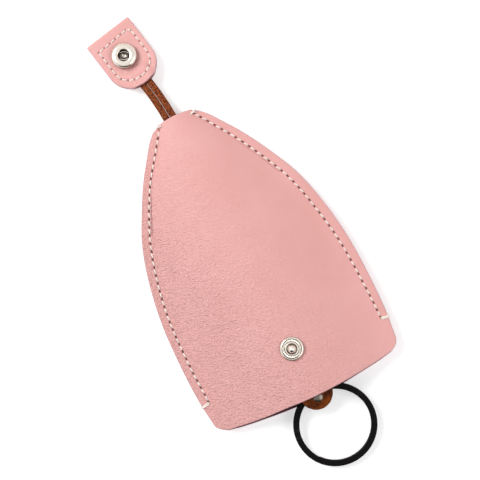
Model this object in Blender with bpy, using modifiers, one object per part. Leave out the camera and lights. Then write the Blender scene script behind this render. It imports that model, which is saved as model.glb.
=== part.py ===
"""A pull-out leather key case, lying on its back as it is laid on a table.

Two leather panels are sewn together along both sides. A leather lace runs through the case: a key ring
hangs in a holder at its lower end, and a pull tab with a snap socket is sewn to its upper end. Pulling the
tab draws the ring and its keys up into the case, and the tab then folds down onto the snap stud.

Metres. +Z comes out of the front, +Y runs towards the pull tab, and the table is z = 0.
Depths are measured down the case from the middle of its top edge.
"""

import math

import bmesh
import bpy
from mathutils import Vector

# Case panels
CASE_LENGTH = 0.1108
CASE_HALF_WIDTH = 0.0372
LEATHER = 0.0012
PANEL_GAP = 0.0003
FRONT_RISE = 0.0066
SLOT_RISE = 0.0017
FRONT_RISE_LENGTH = 0.060
BACK_DROP_LENGTH = 0.022
MOUTH_OVERHANG = 0.0010
MOUTH_SETBACK = 0.0007
CASE_OUTLINE_SHARES = [
    (0.019, 0.247),
    (0.045, 0.325),
    (0.087, 0.417),
    (0.144, 0.535),
    (0.226, 0.674),
    (0.329, 0.820),
    (0.451, 0.921),
    (0.587, 0.983),
    (0.731, 1.000),
    (0.848, 0.993),
    (0.916, 0.972),
    (0.9455, 0.961),
    (0.9576, 0.938),
]
MOUTH_ARC_SHARE = 0.66
MOUTH_CORNER_SHARE = 0.90
TOP_TURN_SHARE = 0.20
MOUTH_TURN_SHARE = 0.12
DOME_POWER = 1.4
SLOT_POWER = 0.7
PLATEAU_SHARE = 0.55
INNER_COLUMNS = 8
FLANGE_COLUMNS = 3
PANEL_ROWS = 24

# Side seams
SEAM_MARGIN = 0.0033
SEAM_TOP_MARGIN = 0.0025
SEAM_END_MARGIN = 0.0024
SEAM_TOP_SHARE = 0.35
SEAM_END_SHARES = (0.73, 0.78)
SEAM_END_INSET = 0.0141
SEAM_BED = 0.0009
STITCH_PITCH = 0.00285
THREAD_RADIUS = 0.00035
THREAD_LIFT = 0.0002
THREAD_GAP = 0.0001
SEAM_SAMPLES = 240

# Rivets of the ring holder
RIVET_CAP_RADIUS = 0.0018
RIVET_CAP_HEIGHT = 0.0006
RIVET_TUBE_RADIUS = 0.0010
RIVET_TUBE_BORE = 0.00065
RIVET_PIN_RADIUS = 0.00042
RIVET_HOLE_CLEARANCE = 0.00025
RIVET_TIP_GAP = 0.0004
RIVET_DOME_SHARES = [(0.45, 0.93), (0.80, 0.62), (1.00, 0.20)]
SEAT_GAP = 0.00005

# Ring holder, two leather leaves with the key ring between them
HOLDER_X = 0.0016
HOLDER_HALF_WIDTH = 0.0061
HOLDER_LENGTH = 0.0262
HOLDER_TIP_INSET = 0.0040
HOLDER_LEATHER = 0.0010
EYE_HALF_GAP = 0.0015
TIP_CLOSING = 0.0007
UPPER_RIVET_INSET = 0.0044
REST_GAP = 0.0003
HOLDER_COLUMNS = 10
HOLDER_ROWS = 16

# Key ring
RING_X = 0.0028
RING_EYE_INSET = 0.0014
RING_RADIUS = 0.0150
RING_BAND = 0.0022
RING_WIRE = 0.0007
RING_TURN_GAP = 0.00042
RING_POST_GAP = 0.0003
RING_STEP_ANGLE = math.radians(36)
RING_END_ANGLE = math.radians(4)
RING_START_ANGLE = math.radians(215)
RING_POINTS = 66

# Lace
LACE_WIDTH = 0.0023
LACE_THICKNESS = 0.0016
STRAND_GAP = 0.00025
LACE_TOP_X = -0.0012
LACE_EXIT_LEAN = math.radians(3.2)
LACE_OUTSIDE = 0.0132
LACE_SPLIT_GAP = 0.0004
LACE_LOOP_CLEARANCE = 0.00025
LACE_LOOP_TAPER = 0.0070
LACE_EDGE_SHARE = 0.22
LACE_STRAIGHT_POINTS = 6
LACE_LOOP_POINTS = 10

# Pull tab
TAB_LEAN = math.radians(11.1)
TAB_LENGTH = 0.0231
TAB_HALF_WIDTH = 0.00925
TAB_ROUND_DEPTH = 0.0087
TAB_LEATHER = 0.0012
TAB_LEAF_GAP = 0.0003
TAB_HINGE_GAP = 0.0022
TAB_HINGE_RISE = 0.0001
TAB_LACE_DEPTH = 0.0042
TAB_LACE_CLEARANCE = 0.00025
TAB_BULGE_BLEND = 0.0024
TAB_THREAD_GAP = 0.0003
TAB_STITCH_SIDE = 0.0024
TAB_STITCH_FOLD = 0.0040
TAB_STITCH_TIP = 0.0027
TAB_STITCH_PITCH = 0.0025
TAB_STITCH_END_POINTS = 12
TAB_COLUMNS = 12
TAB_LEAF_ROWS = 10
TAB_FOLD_ROWS = 4
TABLE_GAP = 0.00005

# Snap fastener
SNAP_POST_RADIUS = 0.0011
SNAP_HOLE_CLEARANCE = 0.0003
STUD_X = 0.0009
STUD_MOUTH_INSET = 0.0191
STUD_RADIUS = 0.0042
STUD_RIM = 0.0010
STUD_FLANGE_SHARES = [(0.48, 0.62), (0.76, 0.60), (0.84, 1.00), (0.93, 1.00), (1.00, 0.60), (1.00, 0.00)]
STUD_HEIGHT = 0.0036
STUD_BALL_RADIUS = 0.0015
STUD_NECK_RADIUS = 0.0011
STUD_COLLAR_HEIGHT = 0.0013
STUD_HOLLOW = 0.0008
STUD_BACK_RADIUS = 0.0038
STUD_BACK_HEIGHT = 0.0007
SOCKET_FOLD_DISTANCE = 0.0110
SOCKET_X = -0.00035
SOCKET_RADIUS = 0.0046
SOCKET_HEIGHT = 0.0025
SOCKET_BORE = 0.0020
SOCKET_CHAMBER = 0.0027
SOCKET_CHAMBER_HEIGHT = 0.0012
SOCKET_FLOOR = 0.0005
SOCKET_TOP_SHARES = [(0.74, 1.00), (0.93, 0.86), (1.00, 0.60), (1.00, 0.16), (0.93, 0.00)]
SPRING_WIRE = 0.00022
SPRING_OPEN_ANGLE = math.radians(40)
SPRING_POINTS = 20
CAP_RADIUS = 0.0050
CAP_HEIGHT = 0.0012
CAP_DOME_SHARES = [(1.00, 0.35), (0.90, 0.68), (0.60, 0.92)]
HEAD_RADIUS = 0.0018
HEAD_HEIGHT = 0.0004

# Modelling
TURN_STEPS = 28
BALL_STEPS = 6
MERGE_DISTANCE = 0.000001
CUT_OVERRUN = 0.0010
BISECT_STEPS = 40
SLOPE_STEP_SHARE = 0.01

# Heights and places worked out from the sizes above
SEAM_Z = LEATHER + REST_GAP + RIVET_CAP_HEIGHT + SEAT_GAP + HOLDER_LEATHER + EYE_HALF_GAP
STRAND_OFFSET = (LACE_WIDTH + STRAND_GAP) / 2
RING_MEAN_RADIUS = RING_RADIUS - RING_BAND / 2
RING_HALF_HEIGHT = RING_WIRE + RING_TURN_GAP / 2
SEAM_LENGTH = CASE_LENGTH - SEAM_END_INSET
STUD_DEPTH = CASE_LENGTH - STUD_MOUTH_INSET
RING_EYE_DEPTH = CASE_LENGTH - RING_EYE_INSET
LOWER_RIVET_DEPTH = RING_EYE_DEPTH + RING_BAND / 2 + RING_POST_GAP + RIVET_TUBE_RADIUS
HOLDER_TIP_DEPTH = LOWER_RIVET_DEPTH + HOLDER_TIP_INSET
HOLDER_TOP_DEPTH = HOLDER_TIP_DEPTH - HOLDER_LENGTH
UPPER_RIVET_DEPTH = HOLDER_TOP_DEPTH + UPPER_RIVET_INSET
LOOP_RADIUS = RIVET_TUBE_RADIUS + LACE_LOOP_CLEARANCE + LACE_WIDTH / 2
HINGE_Z = SEAM_Z + LACE_THICKNESS / 2 + TAB_HINGE_RISE
TAB_MIDDLE = SEAM_Z - HINGE_Z
TAB_FOLD_Y = TAB_HINGE_GAP + TAB_LENGTH
SNAP_Y = TAB_FOLD_Y - SOCKET_FOLD_DISTANCE
COLOURS = {
    "pink_leather": ((0.84, 0.40, 0.38, 1), 0.55, 0),
    "brown_leather": ((0.30, 0.10, 0.03, 1), 0.75, 0),
    "thread": ((0.90, 0.85, 0.78, 1), 0.80, 0),
    "nickel": ((0.78, 0.75, 0.70, 1), 0.22, 1),
    "black_ring": ((0.012, 0.011, 0.011, 1), 0.35, 1),
}


def ease(share):
    """A smooth step from 0 to 1."""
    share = min(1, max(0, share))
    return share * share * (3 - 2 * share)


def spline(points, place):
    """The point at a place from 0 to 1 along a smooth chain of pairs."""
    spans = len(points) - 1
    first = min(int(place * spans), spans - 1)
    along = place * spans - first
    chain = [Vector(points[min(max(first + step, 0), spans)]) for step in (-1, 0, 1, 2)]
    before, start, end, after = chain
    bend = 2 * before - 5 * start + 4 * end - after
    twist = 3 * start - before - 3 * end + after
    return start + ((end - before) * along + bend * along**2 + twist * along**3) / 2


def side_edge(place):
    """The case's right edge as x and depth, from the top shoulder to the mouth's corner."""
    depth, half_width = spline(CASE_OUTLINE_SHARES, place)
    return Vector((half_width * CASE_HALF_WIDTH, depth * CASE_LENGTH))


def inward(place):
    """The way from the right edge into the leather: square to the edge, level at the top and the mouth."""
    before = side_edge(max(0, place - SLOPE_STEP_SHARE))
    along = side_edge(min(1, place + SLOPE_STEP_SHARE)) - before
    square = Vector((-along.y, along.x)).normalized()
    turn = ease(place / TOP_TURN_SHARE) * ease((1 - place) / MOUTH_TURN_SHARE)
    return Vector((-1, 0)).lerp(square, turn).normalized()


def seam_margin(place):
    """How far the stitches run inside the edge. They come nearer to it at both ends."""
    start, end = SEAM_END_SHARES
    margin = SEAM_TOP_MARGIN + (SEAM_MARGIN - SEAM_TOP_MARGIN) * ease(place / SEAM_TOP_SHARE)
    return margin + (SEAM_END_MARGIN - SEAM_MARGIN) * ease((place - start) / (end - start))


def panel_point(side, inner, flange, place):
    """A point of a panel as x and depth: inner runs from the middle to the flange, flange on to the edge."""
    edge = side_edge(place)
    width = seam_margin(place) + SEAM_BED
    point = (edge + inward(place) * width).lerp(edge, flange)
    point.x *= inner
    share = point.x / edge.x
    arc = MOUTH_ARC_SHARE * share**2
    corner = (1 - MOUTH_ARC_SHARE) * (max(0, share - MOUTH_CORNER_SHARE) / (1 - MOUTH_CORNER_SHARE)) ** 2
    point.y += place**3 * (CASE_LENGTH - side_edge(1).y) * (1 - arc - corner)
    point.y -= (1 - place) ** 3 * side_edge(0).y * (1 - share**2)
    return Vector((side * point.x, point.y))


def front_height(inner, depth):
    """The inner face of the front panel, which rises from the seams to a dome."""
    along = math.sin(math.pi / 2 * min(1, max(0, depth) / FRONT_RISE_LENGTH))
    rise = SLOT_RISE + (FRONT_RISE - SLOT_RISE) * along
    power = SLOT_POWER + (DOME_POWER - SLOT_POWER) * along
    return SEAM_Z + PANEL_GAP / 2 + rise * max(0, 1 - inner**2) ** power


def back_height(inner, depth):
    """The inner face of the back panel, which sinks to a flat that rests on the table."""
    full = SEAM_Z - PANEL_GAP / 2 - LEATHER
    drop = SLOT_RISE + (full - SLOT_RISE) * ease(depth / BACK_DROP_LENGTH)
    return SEAM_Z - PANEL_GAP / 2 - drop * (1 - ease((inner - PLATEAU_SHARE) / (1 - PLATEAU_SHARE)))


def inner_share(x, depth):
    """How far a place near the middle lies out towards the flange, from 0 to 1."""
    low, high = 0, 1
    for _ in range(BISECT_STEPS):
        middle = (low + high) / 2
        if panel_point(1, 0, 0, middle).y < depth:
            low = middle
        else:
            high = middle
    return x / panel_point(1, 1, 0, low).x


def material(name):
    """A plain material from the list of colours."""
    found = bpy.data.materials.get(name)
    if found:
        return found
    made = bpy.data.materials.new(name)
    made.use_nodes = True
    colour, roughness, metallic = COLOURS[name]
    shader = made.node_tree.nodes["Principled BSDF"]
    shader.inputs["Base Color"].default_value = colour
    shader.inputs["Roughness"].default_value = roughness
    shader.inputs["Metallic"].default_value = metallic
    made.diffuse_color = colour
    return made


def place_object(name, data, look, parent, location=(0, 0, 0), rotation=(0, 0, 0)):
    """An object of the part, under the empty that moves it."""
    made = bpy.data.objects.new(name, data)
    parts.objects.link(made)
    made.parent = parent
    made.location = location
    made.rotation_euler = rotation
    if look:
        data.materials.append(material(look))
    return made


def axis_empty(name, parent, location, rotation=(0, 0, 0)):
    """An empty on a joint's axis."""
    return place_object(name, None, None, parent, location, rotation)


def finish_mesh(name, mesh):
    """A bmesh as smooth-shaded mesh data."""
    data = bpy.data.meshes.new(name)
    mesh.to_mesh(data)
    mesh.free()
    data.shade_smooth()
    return data


def thicken(target, thickness, offset):
    """A wall on one side of a surface."""
    wall = target.modifiers.new("Wall", "SOLIDIFY")
    wall.thickness = thickness
    wall.offset = offset


def bored(target, x, y, radius, reach):
    """A round hole straight through a piece, along its own Z."""
    bpy.ops.mesh.primitive_cylinder_add(vertices=TURN_STEPS, radius=radius, depth=2 * reach)
    cutter = bpy.context.object
    cutter.name = target.name + "_hole"
    for collection in list(cutter.users_collection):
        collection.objects.unlink(cutter)
    cutters.objects.link(cutter)
    cutter.parent = target
    cutter.location = (x, y, 0)
    cutter.hide_render = True
    cutter.display_type = "WIRE"
    cut = target.modifiers.new("Hole", "BOOLEAN")
    cut.operation = "DIFFERENCE"
    cut.object = cutter


def turned(name, profile, look, parent, location, closed=False):
    """A turned piece: a profile of radius and height, down its outer side, swept about Z."""
    mesh = bmesh.new()
    ring = [mesh.verts.new((radius, 0, height)) for radius, height in profile]
    for first, second in zip(ring, ring[1:] + ring[:1] if closed else ring[1:]):
        mesh.edges.new((first, second))
    made = place_object(name, finish_mesh(name, mesh), look, parent, location)
    screw = made.modifiers.new("Turn", "SCREW")
    screw.steps = screw.render_steps = TURN_STEPS
    screw.use_merge_vertices = True
    screw.merge_threshold = MERGE_DISTANCE
    return made


def poly_curve(name, points, cyclic=False):
    """A curve through points, as straight stretches."""
    curve = bpy.data.curves.new(name, "CURVE")
    curve.dimensions = "3D"
    curve.twist_mode = "Z_UP"
    curve.use_fill_caps = not cyclic
    run = curve.splines.new("POLY")
    run.points.add(len(points) - 1)
    for knot, point in zip(run.points, points):
        knot.co = (*point, 1)
    run.use_cyclic_u = cyclic
    return curve


def tube(name, points, radius, look, parent, cyclic=False):
    """A round tube along points."""
    curve = poly_curve(name, points, cyclic)
    curve.bevel_depth = radius
    curve.bevel_resolution = 1
    return place_object(name, curve, look, parent)


def band(name, points, width, thickness, look, parent):
    """A flat band with its corners taken off, along points."""
    cut = LACE_EDGE_SHARE * thickness
    half, rise = width / 2, thickness / 2
    corners = [(half, rise - cut), (half - cut, rise)]
    corners += [(-x, z) for x, z in reversed(corners)]
    corners += [(-x, -z) for x, z in corners]
    section = poly_curve(name + "_section", [(x, z, 0) for x, z in reversed(corners)], True)
    section.dimensions = "2D"
    guide = bpy.data.objects.new(name + "_section", section)
    cutters.objects.link(guide)
    guide.hide_render = True
    guide.display_type = "WIRE"
    curve = poly_curve(name, points)
    curve.bevel_mode = "OBJECT"
    curve.bevel_object = guide
    return place_object(name, curve, look, parent)


def resampled(points, count, cyclic=False):
    """Points at equal distances along a run of points."""
    chain = [Vector(point) for point in points]
    if cyclic:
        chain.append(chain[0])
    lengths = [0]
    for first, second in zip(chain, chain[1:]):
        lengths.append(lengths[-1] + (second - first).length)
    even, leg = [], 0
    for step in range(count if cyclic else count + 1):
        goal = lengths[-1] * step / count
        while leg < len(chain) - 2 and lengths[leg + 1] < goal:
            leg += 1
        even.append(chain[leg].lerp(chain[leg + 1], (goal - lengths[leg]) / (lengths[leg + 1] - lengths[leg])))
    return even


def run_length(points, cyclic=False):
    """The length of a run of points."""
    chain = list(points) + ([points[0]] if cyclic else [])
    return sum((second - first).length for first, second in zip(chain, chain[1:]))


def build_panel(name, height, outwards, overhang, parent):
    """One leather panel of the case: a warped sheet with a wall on its outer side."""
    mesh = bmesh.new()
    columns = INNER_COLUMNS + FLANGE_COLUMNS
    bmesh.ops.create_grid(mesh, x_segments=2 * columns, y_segments=PANEL_ROWS, size=1)
    start = INNER_COLUMNS / columns
    for vertex in mesh.verts:
        across, place = abs(vertex.co.x), (1 - vertex.co.y) / 2
        inner = min(1, across / start)
        flange = max(0, (across - start) / (1 - start))
        side = 1 if vertex.co.x >= 0 else -1
        x, depth = panel_point(side, inner, flange, place)
        depth += overhang * place**PANEL_ROWS * (1 - (x / side_edge(place).x) ** 2)
        vertex.co = (x, -depth, height(inner, depth))
    panel = place_object(name, finish_mesh(name, mesh), "pink_leather", parent)
    thicken(panel, LEATHER, outwards)
    return panel


def build_seam_thread(name, side, face, parent):
    """The thread on one face of one side seam: a row of stitches, and a turn over the edge at each end."""
    run = []
    for step in range(SEAM_SAMPLES):
        place = step / SEAM_SAMPLES
        flange = SEAM_BED / (seam_margin(place) + SEAM_BED)
        point = panel_point(side, 1, flange, place)
        if point.y > SEAM_LENGTH:
            break
        run.append(point)
        edge = panel_point(side, 1, 1, place)
    stitches = round(run_length(run) / STITCH_PITCH)
    low = SEAM_Z + face * (PANEL_GAP / 2 + LEATHER + THREAD_GAP + THREAD_RADIUS)
    clear = THREAD_RADIUS + THREAD_GAP
    middle = SEAM_Z + face * THREAD_RADIUS
    path = [(run[0].x, clear - run[0].y, middle), (run[0].x, clear - run[0].y, low)]
    for count, point in enumerate(resampled(run, 2 * stitches)):
        path.append((point.x, -point.y, low + face * THREAD_LIFT * (count % 2)))
    path.append((edge.x + side * clear, -edge.y, low))
    path.append((edge.x + side * clear, -edge.y, middle))
    return tube(name, path, THREAD_RADIUS, "thread", parent)


def build_stud(parent):
    """The male half of the snap: a flanged ball on the front, and the post that holds it from inside."""
    outside = front_height(0, STUD_DEPTH) + LEATHER + SEAT_GAP
    inside = front_height(inner_share(STUD_X + STUD_BACK_RADIUS, STUD_DEPTH), STUD_DEPTH) - SEAT_GAP
    centre = STUD_HEIGHT - STUD_BALL_RADIUS
    lowest = -math.acos(STUD_NECK_RADIUS / STUD_BALL_RADIUS)
    profile = [(0, STUD_HEIGHT)]
    for step in range(1, BALL_STEPS + 1):
        angle = math.pi / 2 + (lowest - math.pi / 2) * step / BALL_STEPS
        profile.append((STUD_BALL_RADIUS * math.cos(angle), centre + STUD_BALL_RADIUS * math.sin(angle)))
    profile.append((STUD_NECK_RADIUS, STUD_COLLAR_HEIGHT))
    profile += [(STUD_RADIUS * out, STUD_RIM * up) for out, up in STUD_FLANGE_SHARES]
    hollow = SNAP_POST_RADIUS + SNAP_HOLE_CLEARANCE
    profile += [(hollow, 0), (hollow, STUD_HOLLOW), (0, STUD_HOLLOW)]
    turned("snap_stud", profile, "nickel", parent, (STUD_X, -STUD_DEPTH, outside))
    reach = outside - inside + STUD_HOLLOW - SNAP_HOLE_CLEARANCE
    profile = [
        (0, reach),
        (SNAP_POST_RADIUS, reach),
        (SNAP_POST_RADIUS, 0),
        (STUD_BACK_RADIUS, 0),
        (STUD_BACK_RADIUS, -STUD_BACK_HEIGHT),
        (0, -STUD_BACK_HEIGHT),
    ]
    turned("snap_stud_post", profile, "nickel", parent, (STUD_X, -STUD_DEPTH, inside))


def tongue_point(across, along, half_width, length, round_depth):
    """A point of a strip with a round end: across from -1 to 1, along from 0 at its start to 1 at its tip."""
    straight = length - round_depth
    turn_start = straight / length
    turn = max(0, (along - turn_start) / (1 - turn_start))
    angle = turn * math.pi / 4
    x = across * half_width * math.cos(angle)
    level = min(1, along / turn_start) * straight + round_depth * math.sin(angle)
    arc = straight + round_depth * math.sqrt(1 - (x / half_width) ** 2)
    return x, level + turn**2 * (arc - level)


def build_holder_leaf(name, face, parent):
    """One leaf of the ring holder: a strip with round ends that bends in towards its lower tip."""
    mesh = bmesh.new()
    bmesh.ops.create_grid(mesh, x_segments=HOLDER_COLUMNS, y_segments=HOLDER_ROWS, size=1)
    half_length = HOLDER_LENGTH / 2
    closing_start = half_length - HOLDER_TIP_INSET
    for vertex in mesh.verts:
        across, along = vertex.co.x, vertex.co.y
        x, out = tongue_point(across, abs(along), HOLDER_HALF_WIDTH, half_length, HOLDER_HALF_WIDTH)
        closed = max(0, out - closing_start) / HOLDER_TIP_INSET if along < 0 else 0
        gap = EYE_HALF_GAP - TIP_CLOSING * closed**2
        vertex.co = (x, math.copysign(out, along), face * gap)
    leaf = place_object(
        name,
        finish_mesh(name, mesh),
        "brown_leather",
        parent,
        (0, UPPER_RIVET_DEPTH - HOLDER_TOP_DEPTH - half_length, 0),
    )
    thicken(leaf, HOLDER_LEATHER, face)
    reach = EYE_HALF_GAP + HOLDER_LEATHER + CUT_OVERRUN
    middle = HOLDER_TOP_DEPTH + half_length
    for depth in (UPPER_RIVET_DEPTH, LOWER_RIVET_DEPTH):
        bored(leaf, 0, middle - depth, RIVET_TUBE_RADIUS + RIVET_HOLE_CLEARANCE, reach)


def build_rivet(name, depth, parent):
    """A two-part rivet: a cap whose tube runs through both leaves, and a base whose pin fills the tube."""
    seat = EYE_HALF_GAP + HOLDER_LEATHER + SEAT_GAP
    dome = [(RIVET_CAP_RADIUS * out, seat + RIVET_CAP_HEIGHT * up) for out, up in RIVET_DOME_SHARES]
    place = (0, UPPER_RIVET_DEPTH - depth, 0)
    roof = seat - RIVET_CAP_HEIGHT
    tube_end = RIVET_TIP_GAP - seat
    profile = [(0, seat + RIVET_CAP_HEIGHT), *dome, (RIVET_CAP_RADIUS, seat), (RIVET_TUBE_RADIUS, seat)]
    profile += [(RIVET_TUBE_RADIUS, tube_end), (RIVET_TUBE_BORE, tube_end), (RIVET_TUBE_BORE, roof), (0, roof)]
    turned(name + "_cap", profile, "nickel", parent, place)
    pin_top = roof - RIVET_TIP_GAP
    profile = [(0, pin_top), (RIVET_PIN_RADIUS, pin_top), (RIVET_PIN_RADIUS, -seat), (RIVET_CAP_RADIUS, -seat)]
    profile += [(radius, -height) for radius, height in reversed(dome)]
    profile.append((0, -seat - RIVET_CAP_HEIGHT))
    turned(name + "_base", profile, "nickel", parent, place)


def build_key_ring(parent):
    """A split ring: one flat wire that goes round twice, with a step up between its turns."""
    first, last = RING_END_ANGLE, 4 * math.pi - RING_STEP_ANGLE - RING_END_ANGLE
    rise = (RING_WIRE + RING_TURN_GAP) / 2
    points = []
    for step in range(RING_POINTS + 1):
        angle = first + (last - first) * step / RING_POINTS
        climb = ease((angle - 2 * math.pi + RING_STEP_ANGLE) / RING_STEP_ANGLE)
        turn = angle + RING_START_ANGLE
        height = rise * (2 * climb - 1)
        points.append((RING_MEAN_RADIUS * math.cos(turn), RING_MEAN_RADIUS * math.sin(turn), height))
    band("key_ring", points, RING_BAND, RING_WIRE, "black_ring", parent)


def lace_middle(y):
    """The lace's middle line: x and its lean, at a height above the case's top edge."""
    if y < 0:
        slope = (HOLDER_X - LACE_TOP_X) / UPPER_RIVET_DEPTH
        return LACE_TOP_X - slope * y, math.atan(slope)
    slope = math.tan(LACE_EXIT_LEAN)
    bend = (math.tan(TAB_LEAN) - slope) / LACE_OUTSIDE
    return LACE_TOP_X - slope * y - bend * y**2 / 2, math.atan(slope + bend * y)


def strand_point(y, side):
    """A point on the middle of one of the lace's two strands."""
    x, lean = lace_middle(y)
    spread = ease(1 - (y + UPPER_RIVET_DEPTH) / LACE_LOOP_TAPER)
    offset = side * (STRAND_OFFSET + (LOOP_RADIUS - STRAND_OFFSET) * spread)
    return x + offset * math.cos(lean), y + offset * math.sin(lean) * (1 - spread), SEAM_Z


def build_lace(parent):
    """The lace below the tab's fold: two strands, joined by a loop round the holder's upper rivet."""
    taper_start = LACE_LOOP_TAPER - UPPER_RIVET_DEPTH
    top = LACE_OUTSIDE - LACE_SPLIT_GAP / 2
    levels = []
    for high, low in ((top, 0), (0, taper_start), (taper_start, -UPPER_RIVET_DEPTH)):
        levels += [high + (low - high) * step / LACE_STRAIGHT_POINTS for step in range(LACE_STRAIGHT_POINTS)]
    left = [strand_point(y, -1) for y in levels]
    right = [strand_point(y, 1) for y in reversed(levels)]
    loop = []
    for step in range(LACE_LOOP_POINTS + 1):
        angle = math.pi * (1 + step / LACE_LOOP_POINTS)
        x, y = HOLDER_X + LOOP_RADIUS * math.cos(angle), LOOP_RADIUS * math.sin(angle) - UPPER_RIVET_DEPTH
        loop.append((x, y, SEAM_Z))
    band("lace", left + loop + right, LACE_WIDTH, LACE_THICKNESS, "brown_leather", parent)


def build_lace_bight(parent):
    """The end of the lace that is sewn into the tab: both strands and the turn that joins them."""
    start = LACE_SPLIT_GAP / 2
    turn = TAB_HINGE_GAP + TAB_LACE_DEPTH - STRAND_OFFSET - LACE_WIDTH / 2
    points = [(-STRAND_OFFSET, start, TAB_MIDDLE)]
    for step in range(LACE_LOOP_POINTS + 1):
        angle = math.pi * (1 - step / LACE_LOOP_POINTS)
        points.append((STRAND_OFFSET * math.cos(angle), turn + STRAND_OFFSET * math.sin(angle), TAB_MIDDLE))
    points.append((STRAND_OFFSET, start, TAB_MIDDLE))
    band("lace_bight", points, LACE_WIDTH, LACE_THICKNESS, "brown_leather", parent)


def tab_half_gap(x, y):
    """Half the space between the tab's leaves, which opens over the lace."""
    side = STRAND_OFFSET + LACE_WIDTH / 2 + TAB_LACE_CLEARANCE
    top = TAB_HINGE_GAP + TAB_LACE_DEPTH + TAB_LACE_CLEARANCE
    over = ease(1 - (abs(x) - side) / TAB_BULGE_BLEND) * ease(1 - (y - top) / TAB_BULGE_BLEND)
    closed = TAB_LEAF_GAP / 2
    return closed + over * (LACE_THICKNESS / 2 + TAB_LACE_CLEARANCE - closed)


def build_tab(parent):
    """The pull tab: one piece of leather, folded at its far end, with round lower ends."""
    mesh = bmesh.new()
    rows = 2 * TAB_LEAF_ROWS + TAB_FOLD_ROWS
    bmesh.ops.create_grid(mesh, x_segments=TAB_COLUMNS, y_segments=rows, size=1)
    fold = TAB_FOLD_ROWS / rows
    bend = TAB_LEAF_GAP / 2
    base = TAB_FOLD_Y - bend - TAB_LEATHER
    for vertex in mesh.verts:
        across, along = vertex.co.x, vertex.co.y
        if abs(along) < fold:
            angle = math.pi / 2 * along / fold
            point = (across * TAB_HALF_WIDTH, base + bend * math.cos(angle), bend * math.sin(angle))
        else:
            share = (abs(along) - fold) / (1 - fold)
            length = base - TAB_HINGE_GAP
            x, out = tongue_point(across, share, TAB_HALF_WIDTH, length, TAB_ROUND_DEPTH)
            point = (x, base - out, math.copysign(tab_half_gap(x, base - out), along))
        vertex.co = point
    tab = place_object("pull_tab", finish_mesh("pull_tab", mesh), "pink_leather", parent, (0, 0, TAB_MIDDLE))
    thicken(tab, TAB_LEATHER, -1)
    bored(tab, SOCKET_X, SNAP_Y, SNAP_POST_RADIUS + SNAP_HOLE_CLEARANCE, TAB_LEATHER + CUT_OVERRUN)


def build_tab_thread(name, face, parent):
    """The stitches on one face of the tab, all round and across below the fold."""
    side = TAB_HALF_WIDTH - TAB_STITCH_SIDE
    top = TAB_FOLD_Y - TAB_STITCH_FOLD
    centre = TAB_HINGE_GAP + TAB_ROUND_DEPTH
    run = [Vector((-side, top)), Vector((side, top))]
    for step in range(TAB_STITCH_END_POINTS + 1):
        angle = -math.pi * step / TAB_STITCH_END_POINTS
        round_end = TAB_ROUND_DEPTH - TAB_STITCH_TIP
        run.append(Vector((side * math.cos(angle), centre + round_end * math.sin(angle))))
    stitches = round(run_length(run, True) / TAB_STITCH_PITCH)
    path = []
    for count, point in enumerate(resampled(run, 2 * stitches, True)):
        height = tab_half_gap(point.x, point.y) + TAB_LEATHER + TAB_THREAD_GAP + THREAD_RADIUS
        path.append((point.x, point.y, TAB_MIDDLE + face * (height + THREAD_LIFT * (count % 2))))
    tube(name, path, THREAD_RADIUS, "thread", parent, True)


def build_socket(parent):
    """The female half of the snap: the socket on the tab's front, its spring, and the cap that holds it."""
    leaf = TAB_LEAF_GAP / 2 + TAB_LEATHER + SEAT_GAP
    place = (SOCKET_X, SNAP_Y, TAB_MIDDLE + leaf)
    throat = SNAP_POST_RADIUS + SNAP_HOLE_CLEARANCE
    profile = [(SOCKET_BORE, SOCKET_HEIGHT)]
    profile += [(SOCKET_RADIUS * out, SOCKET_HEIGHT * up) for out, up in SOCKET_TOP_SHARES]
    ceiling = SOCKET_FLOOR + SOCKET_CHAMBER_HEIGHT
    profile += [(throat, 0), (throat, SOCKET_FLOOR), (SOCKET_CHAMBER, SOCKET_FLOOR)]
    profile += [(SOCKET_CHAMBER, ceiling), (SOCKET_BORE, ceiling)]
    turned("snap_socket", profile, "nickel", parent, place, True)
    head = SOCKET_FLOOR + SEAT_GAP + HEAD_HEIGHT
    inner = -2 * leaf
    profile = [(0, head), (HEAD_RADIUS, head), (HEAD_RADIUS, head - HEAD_HEIGHT)]
    profile += [(SNAP_POST_RADIUS, head - HEAD_HEIGHT), (SNAP_POST_RADIUS, inner), (CAP_RADIUS, inner)]
    profile += [(CAP_RADIUS * out, inner - CAP_HEIGHT * up) for out, up in CAP_DOME_SHARES]
    profile.append((0, inner - CAP_HEIGHT))
    turned("snap_cap", profile, "nickel", parent, place)
    ring = SOCKET_CHAMBER - SPRING_WIRE - SEAT_GAP
    height = TAB_MIDDLE + leaf + (head + ceiling) / 2
    points = []
    for step in range(SPRING_POINTS + 1):
        angle = SPRING_OPEN_ANGLE + (2 * math.pi - 2 * SPRING_OPEN_ANGLE) * step / SPRING_POINTS
        points.append((SOCKET_X + ring * math.cos(angle), SNAP_Y + ring * math.sin(angle), height))
    tube("socket_spring", points, SPRING_WIRE, "nickel", parent)


def lying_angle(out, below):
    """How far the tab droops before a place on its underside meets the table."""
    return math.asin((HINGE_Z - TABLE_GAP) / math.hypot(out, below)) - math.atan2(below, out)


def tab_droop():
    """The tab lies on whatever meets the table first: its stitches, its fold or its snap cap."""
    leaf = TAB_LEAF_GAP / 2 + TAB_LEATHER - TAB_MIDDLE
    thread = leaf + TAB_THREAD_GAP + THREAD_LIFT + 2 * THREAD_RADIUS
    return min(
        lying_angle(TAB_FOLD_Y - TAB_STITCH_FOLD, thread),
        lying_angle(TAB_FOLD_Y, leaf),
        lying_angle(SNAP_Y + CAP_RADIUS, leaf + SEAT_GAP + CAP_HEIGHT),
    )


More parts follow.
